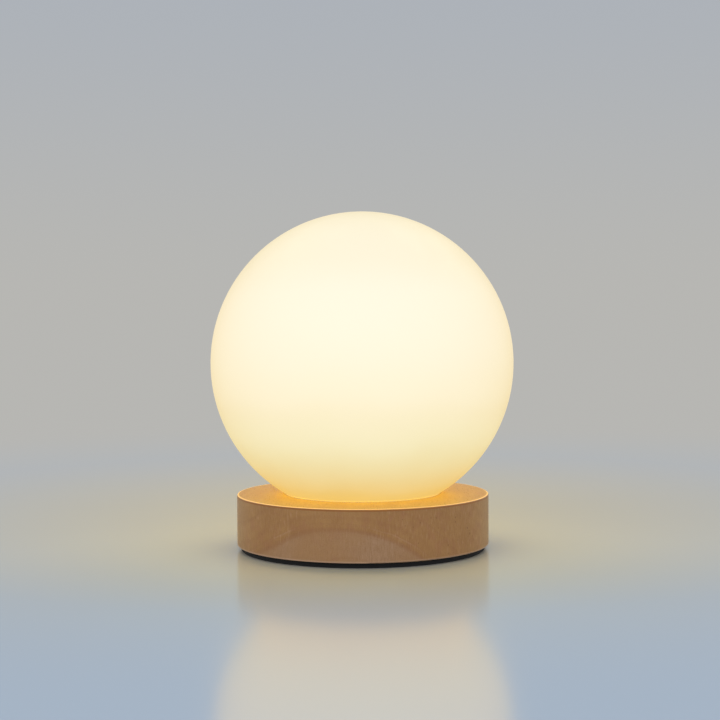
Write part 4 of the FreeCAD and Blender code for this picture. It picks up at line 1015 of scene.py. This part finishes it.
foot = make_foam_piece("foam_foot", "foot_pad", disc_outline(PAD_RADIUS, PAD_SIDES), "black_foam")
liner_outline = sheet_outline(foam_low, foam_high, LINER_CORNER, CORNER_STEPS)
liner = make_foam_piece("foam_liner", "battery_foam", liner_outline, "white_foam")
print("foam pieces:", foot.name, len(foot.data.polygons), liner.name, len(liner.data.polygons))


# %% [markdown]
# ## The spring behind the button
#
# A pressed button squeezes its spring. The imported spring is stiff, so a copy of it stands in its place,
# and the share of its length that it keeps when the button has travelled all the way is worked out.
# The imported mesh is made of loose triangles, so the copy's points are merged first, which makes the
# wire smooth.

# %% Spring copy and its shortest length
def make_spring():
    low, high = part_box("switch_spring")
    mesh = frame["nodes"]["switch_spring"].data.copy()
    wire = bmesh.new()
    wire.from_mesh(mesh)
    bmesh.ops.remove_doubles(wire, verts=wire.verts, dist=0.001 * MM)
    bmesh.ops.recalc_face_normals(wire, faces=wire.faces)
    wire.to_mesh(mesh)
    wire.free()
    mesh.name = "button_spring"
    spring = add_object("button_spring", mesh)
    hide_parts("switch_spring")
    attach(spring, BASE)
    press = next(joint for joint in frame["joints"] if joint["name"] == "button_press")
    travel = max(press["range_m"])
    keep = 1 - travel / (high.y - low.y)
    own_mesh(spring)
    return spring, keep


button_spring, kept_share = make_spring()
print("spring faces", len(button_spring.data.polygons), "shortest length, as a share", round(kept_share, 2))


# %% [markdown]
# ## Copies laid out by Geometry Nodes
#
# Solder joints and contacts repeat, so each is modelled once and laid out by a Geometry Nodes tree. One
# tree turns copies round the lamp's axis and one sets them in rows. Both end by making the copies real
# and giving them their finish, because a plain mesh is what the export can carry. The tree's inputs are
# named sizes. The evaluated result is then kept as the piece's own mesh and the modifier goes.

# %% Trees that repeat a shape
def start_copies(title, takes):
    """A tree that takes a shape, a count, some sizes and a finish."""
    all_takes = [("Geometry", "Geometry", None), ("Copies", "Int", 12), *takes, ("Finish", "Material", None)]
    return new_tree("GeometryNodeTree", title, all_takes, [("Geometry", "Geometry")])


def end_copies(tree, given, copies, finish):
    """Makes the copies real, gives them their finish and puts them out."""
    real = put(tree, "GeometryNodeRealizeInstances", {"Geometry": copies}).outputs[0]
    done = put(tree, "GeometryNodeSetMaterial", {"Geometry": real, "Material": finish})
    feed(given, {"Geometry": done.outputs[0]})
    return tree


def make_ring_tree():
    sizes = [("First Angle", "Float", 0.0), ("Step Angle", "Float", 0.0)]
    tree, taken, given = start_copies("Ring of copies", sizes)
    points = put(tree, "GeometryNodeMeshLine", {"Count": taken["Copies"], "Offset": (0.0, 0.0, 0.0)})
    index = put(tree, "GeometryNodeInputIndex").outputs[0]
    turn = join(tree, Z=calc(tree, "MULTIPLY_ADD", index, taken["Step Angle"], taken["First Angle"]))
    feeds = {"Points": points.outputs[0], "Instance": taken["Geometry"], "Rotation": turn}
    copies = put(tree, "GeometryNodeInstanceOnPoints", feeds).outputs[0]
    return end_copies(tree, given, copies, taken["Finish"])


def make_rows_tree():
    sizes = [("Pitch", "Float", 0.5 * MM), ("Rows", "Int", 2), ("Row Drop", "Float", 1.0 * MM)]
    tree, taken, given = start_copies("Rows of copies", sizes)
    shape = taken["Geometry"]
    for count, axis, gap in (("Copies", "X", "Pitch"), ("Rows", "Z", "Row Drop")):
        feeds = {"Count": taken[count], "Offset": join(tree, **{axis: taken[gap]})}
        points = put(tree, "GeometryNodeMeshLine", feeds).outputs[0]
        shape = put(tree, "GeometryNodeInstanceOnPoints", {"Points": points, "Instance": shape}).outputs[0]
    return end_copies(tree, given, shape, taken["Finish"])


def lay_out(name, shape, tree, inputs):
    """Runs a tree on a shape and keeps the result as a plain mesh that rides on the base."""
    piece = add_object(name, shape)
    modifier = piece.modifiers.new("copies", "NODES")
    modifier.node_group = tree
    for item in tree.interface.items_tree:
        if item.in_out == "INPUT" and item.name in inputs:
            modifier[item.identifier] = inputs[item.name]
    bpy.context.view_layer.update()
    graph = bpy.context.evaluated_depsgraph_get()
    mesh = bpy.data.meshes.new_from_object(piece.evaluated_get(graph), depsgraph=graph)
    mesh.name = name
    piece.modifiers.remove(modifier)
    piece.data = mesh
    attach(piece, BASE)
    return piece


RING_TREE = make_ring_tree()
ROWS_TREE = make_rows_tree()
print("trees:", RING_TREE.name, "and", ROWS_TREE.name)


# %% [markdown]
# ## Solder joints
#
# Molten solder climbs the end of an LED and runs out to a thin edge on the copper, in a hollow curve.
# Each fillet is a grid of points: the curve gives the height across it, and a rounded falloff brings it
# down at its two ends. The leads end in a small cone of solder, which is a turned shape.

# %% Solder at the LEDs and at the leads
# each point of the two curves is a distance out and a height above the board, in millimetres
FILLET_CURVE = [(0.0, 0.36), (0.03, 0.3), (0.1, 0.2), (0.22, 0.12), (0.38, 0.07), (0.52, 0.045), (0.6, 0.0)]
FILLET_HALF = 1.15 * MM
FILLET_STEPS = 8
CONE_CURVE = [(1.25, 0.0), (1.22, 0.05), (1.0, 0.1), (0.82, 0.2), (0.68, 0.42), (0.6, 0.7), (0.5, 0.86)]
CONE_SIDES = 24
LEAD_RING = 18.6 * MM
LEAD_ANGLES = (135, 165)
MERGED = 0.002 * MM


def fillet_mesh():
    """Two fillets, one at each end of an LED that stands on the +X side of the ring."""
    made = bmesh.new()
    for side in (-1, 1):
        rows = []
        for step in range(FILLET_STEPS + 1):
            along = 2 * step / FILLET_STEPS - 1
            full = math.sqrt(max(0.0, 1 - along ** 4))
            x = EMITTER_RING + along * FILLET_HALF
            row = []
            for out, height in FILLET_CURVE:
                y = side * (EMITTER_LENGTH / 2 + out * MM)
                row.append(made.verts.new((x, y, board_high.z + full * height * MM)))
            rows.append(row)
        for one, other in zip(rows, rows[1:]):
            for index in range(len(one) - 1):
                made.faces.new((one[index], one[index + 1], other[index + 1], other[index]))
            made.faces.new((one[-1], one[0], other[0], other[-1]))
    bmesh.ops.remove_doubles(made, verts=made.verts, dist=MERGED)
    bmesh.ops.holes_fill(made, edges=made.edges)
    return smooth_mesh(made, "fillet")


def cone_mesh():
    """A cone of solder with its foot on the board, on the +X side of the lead ring."""
    made = bmesh.new()
    loops = []
    for radius, height in CONE_CURVE:
        loop = []
        for step in range(CONE_SIDES):
            angle = math.tau * step / CONE_SIDES
            x = LEAD_RING + radius * MM * math.cos(angle)
            loop.append(made.verts.new((x, radius * MM * math.sin(angle), board_high.z + height * MM)))
        loops.append(loop)
    join_loops(made, loops)
    made.faces.new(loops[0])
    made.faces.new(loops[-1])
    return smooth_mesh(made, "cone")


step_angle = math.tau / EMITTERS
ring_inputs = {"Copies": EMITTERS, "First Angle": step_angle / 2, "Step Angle": step_angle}
ring_inputs["Finish"] = FINISHES["solder"]
emitter_solder = lay_out("emitter_solder", fillet_mesh(), RING_TREE, ring_inputs)
first, last = (math.radians(angle) for angle in LEAD_ANGLES)
lead_inputs = {"Copies": 2, "First Angle": first, "Step Angle": last - first, "Finish": FINISHES["solder"]}
lead_solder = lay_out("lead_solder", cone_mesh(), RING_TREE, lead_inputs)
print("solder faces:", len(emitter_solder.data.polygons), len(lead_solder.data.polygons))


# %% [markdown]
# ## Contacts of the charging socket
#
# The tongue in the socket carries twelve gilt contacts on each face, half a millimetre apart. They are
# thin strips with a rounded nose, let into the resin so that they stand only a hair proud of it.

# %% Socket contacts
tongue_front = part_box("socket_tongue")[1].y
shell_low, shell_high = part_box("socket_shell")
CONTACTS = 12
CONTACT_PITCH = 0.5 * MM
CONTACT_WIDTH = 0.25 * MM
CONTACT_LENGTH = 3.6 * MM
CONTACT_PROUD = 0.03 * MM
CONTACT_NOSE = 0.5 * MM
TONGUE_THICK = 0.7 * MM


def contact_mesh():
    """One contact strip on the tongue's upper face, at the first of its places."""
    x = (shell_low.x + shell_high.x) / 2 - CONTACT_PITCH * (CONTACTS - 1) / 2
    y = tongue_front - CONTACT_NOSE - CONTACT_LENGTH / 2
    top = (shell_low.z + shell_high.z) / 2 + TONGUE_THICK / 2 + CONTACT_PROUD
    made = bmesh.new()
    size = Matrix.Diagonal((CONTACT_WIDTH, CONTACT_LENGTH, 2 * CONTACT_PROUD, 1.0))
    place = Matrix.Translation((x, y, top - CONTACT_PROUD))
    bmesh.ops.create_cube(made, size=1.0, matrix=place @ size)
    upright = [edge for edge in made.edges if abs(edge.verts[0].co.z - edge.verts[1].co.z) > CONTACT_PROUD]
    bmesh.ops.bevel(made, geom=upright, offset=0.4 * CONTACT_WIDTH, segments=3, affect="EDGES")
    return smooth_mesh(made, "contact")


rows_inputs = {"Copies": CONTACTS, "Pitch": CONTACT_PITCH, "Rows": 2, "Row Drop": -TONGUE_THICK}
rows_inputs["Finish"] = FINISHES["gold_contact"]
contacts = lay_out("socket_contacts", contact_mesh(), ROWS_TREE, rows_inputs)
print("contacts:", 2 * CONTACTS, "faces", len(contacts.data.polygons))


# %% [markdown]
# ## Floor and backdrop
#
# A lamp like this is seen on a pale, slightly glossy table in a dim, cool room. The floor is one large
# disc. It has a faint mirror shine, so that the globe shows in it, and far from the lamp it fades into
# the colour of the backdrop, which leaves no hard line behind the lamp. Light is painted into its colour:
# a sand-coloured pool of painted lamplight round a point close behind the lamp, as from a lit wall, and
# painted cool window light in front, over a plain grey. The backdrop is the world's colour where the
# camera, a mirror or clear plastic looks at it: a little warm at the height of the table, where the lamp
# would light it, and cooler above. Everything else sees the world as plain soft light.

# %% Floor and world
BACKDROP_LOW = rgb(0.474, 0.470, 0.450)
BACKDROP_HIGH = rgb(0.415, 0.445, 0.487)
BACKDROP_RISE = 0.24  # how steep a look has to be for the backdrop's upper colour
FLOOR_RADIUS = 8.0
FLOOR_SIDES = 96
FLOOR_LAMPLIGHT_POOL = rgb(0.57, 0.49, 0.325)
FLOOR_PLAIN = rgb(0.43, 0.448, 0.468)
FLOOR_WINDOW_LIGHT = rgb(0.375, 0.453, 0.558)
POOL_MIDDLE = (0.0, 0.13, 0.0)  # the painted pool of warm lamplight on the floor lies round a point behind the lamp
POOL_REACH = (0.07, 0.26)
FRONT_REACH = (0.03, -0.25)  # how far back the painted cool window light reaches, and where it is full
FADE_REACH = (0.24, 0.62)  # how far from the lamp the floor begins to fade, and is gone
SOFT_LIGHT = rgb(0.955, 1.0, 1.04)
SOFT_LIGHT_LEVEL = 0.63


def make_floor():
    cut = bmesh.new()
    bmesh.ops.create_circle(cut, cap_ends=True, segments=FLOOR_SIDES, radius=FLOOR_RADIUS)
    mesh = bpy.data.meshes.new("floor")
    cut.to_mesh(mesh)
    cut.free()
    add_object("floor", mesh)
    plain = {"Roughness": 0.17, "IOR": 1.45, "Specular IOR Level": 0.31}
    tree, shader, place = new_finish("floor", plain)
    # painted light on the floor: cool window light in front, and a warm pool of lamplight round a point behind the
    # lamp
    front = rescale(tree, split(tree, place)["Y"], FRONT_REACH, smooth=True)
    outer = mix_colours(tree, front, FLOOR_PLAIN, FLOOR_WINDOW_LIGHT)
    beyond = rescale(tree, calc_vector(tree, "DISTANCE", place, POOL_MIDDLE), POOL_REACH)
    feed(shader, {"Base Color": mix_colours(tree, beyond, FLOOR_LAMPLIGHT_POOL, outer)})
    fade = rescale(tree, calc_vector(tree, "LENGTH", place), FADE_REACH, smooth=True)
    backdrop = put(tree, "ShaderNodeEmission", {"Color": BACKDROP_LOW, "Strength": 1.0})
    mixed = put(tree, "ShaderNodeMixShader", {0: fade, 1: shader.outputs[0], 2: backdrop.outputs[0]})
    feed(tree.nodes["Material Output"], {"Surface": mixed.outputs[0]})
    mesh.materials.append(FINISHES["floor"])
    FINISHES["floor"].cycles.emission_sampling = "NONE"


def make_world():
    world = bpy.data.worlds.new("soft room")
    bpy.context.scene.world = world
    world.use_nodes = True
    tree = world.node_tree
    rays = put(tree, "ShaderNodeLightPath").outputs
    seen = largest(tree, *(rays[name] for name in ("Is Camera Ray", "Is Glossy Ray", "Is Transmission Ray")))
    up = split(tree, put(tree, "ShaderNodeTexCoord").outputs["Generated"])["Z"]
    height = rescale(tree, up, (0.0, BACKDROP_RISE), smooth=True)
    backdrop = mix_colours(tree, height, BACKDROP_LOW, BACKDROP_HIGH)
    feeds = {
        "Color": mix_colours(tree, seen, SOFT_LIGHT, backdrop),
        "Strength": mix_values(tree, seen, SOFT_LIGHT_LEVEL, 1.0),
    }
    feed(tree.nodes["Background"], feeds)


make_floor()
make_world()
print("floor radius", FLOOR_RADIUS, "m")


# %% [markdown]
# ## Soft studio lights
#
# Four large panels stand round the lamp, so that every side is lit at a plain level, at which a colour
# renders about as it is written. None of them is bright enough to hide the globe's own glow. The two
# at the front stand low, as a window does, and don't show in shiny surfaces, where they would put a
# white patch on the floor.

# %% Lights
PANEL_SIZE = 1.2
PANEL_DISTANCE = 1.8
PANEL_COLOUR = (0.98, 0.99, 1.0)
PANELS = {
    "front_left": (-40, 28, 6.5, False),
    "front_right": (46, 24, 4.5, False),
    "back_left": (-138, 50, 6.0, True),
    "back_right": (140, 46, 6.5, True),
}  # degrees from the front towards +X, degrees above the floor, watts, and whether reflections show it


def make_panel(name, bearing, rise, power, reflected):
    light = bpy.data.lights.new(name, "AREA")
    light.size = PANEL_SIZE
    light.energy = power
    light.color = PANEL_COLOUR
    panel = add_object(name, light)
    turn, lift = math.radians(bearing), math.radians(rise)
    outward = Vector((math.sin(turn) * math.cos(lift), -math.cos(turn) * math.cos(lift), math.sin(lift)))
    panel.location = Vector((0.0, 0.0, GLOBE_CENTRE_Z / 2)) + outward * PANEL_DISTANCE
    panel.rotation_euler = outward.to_track_quat("Z", "Y").to_euler()
    panel.visible_glossy = reflected
    return panel


panels = [make_panel(name, *facts) for name, facts in PANELS.items()]
print("panels:", [panel.name for panel in panels])


# %% [markdown]
# ## Camera
#
# The view is from the front, a little above the middle of the globe and almost level, with a long
# lens. The camera's place and tilt were worked out from the outlines of the globe, the base and the
# foot in the picture. The last value is a small roll, because the picture isn't quite level.

# %% Camera
CAMERA_PLACE = Vector((-0.8 * MM, -589 * MM, 95.3 * MM))
CAMERA_LENS = 74.05
SENSOR = 36.0
NEAREST, FURTHEST = 0.01, 40.0
CAMERA_PITCH = math.radians(-1.985)
CAMERA_ROLL = math.radians(-0.32)

camera_data = bpy.data.cameras.new("camera")
camera_data.lens = CAMERA_LENS
camera_data.sensor_width = SENSOR
camera_data.sensor_fit = "HORIZONTAL"
camera_data.clip_start = NEAREST
camera_data.clip_end = FURTHEST
camera = add_object("camera", camera_data)
aimed = Matrix.Rotation(math.radians(90) + CAMERA_PITCH, 4, "X") @ Matrix.Rotation(CAMERA_ROLL, 4, "Z")
camera.matrix_world = Matrix.Translation(CAMERA_PLACE) @ aimed
bpy.context.scene.camera = camera
print("camera", round(CAMERA_PLACE.length, 3), "m from the lamp's foot")


# %% [markdown]
# ## View
#
# The Standard view shows colours as they are, without a film look.

# %% Finish
bpy.context.scene.view_settings.view_transform = "Standard"
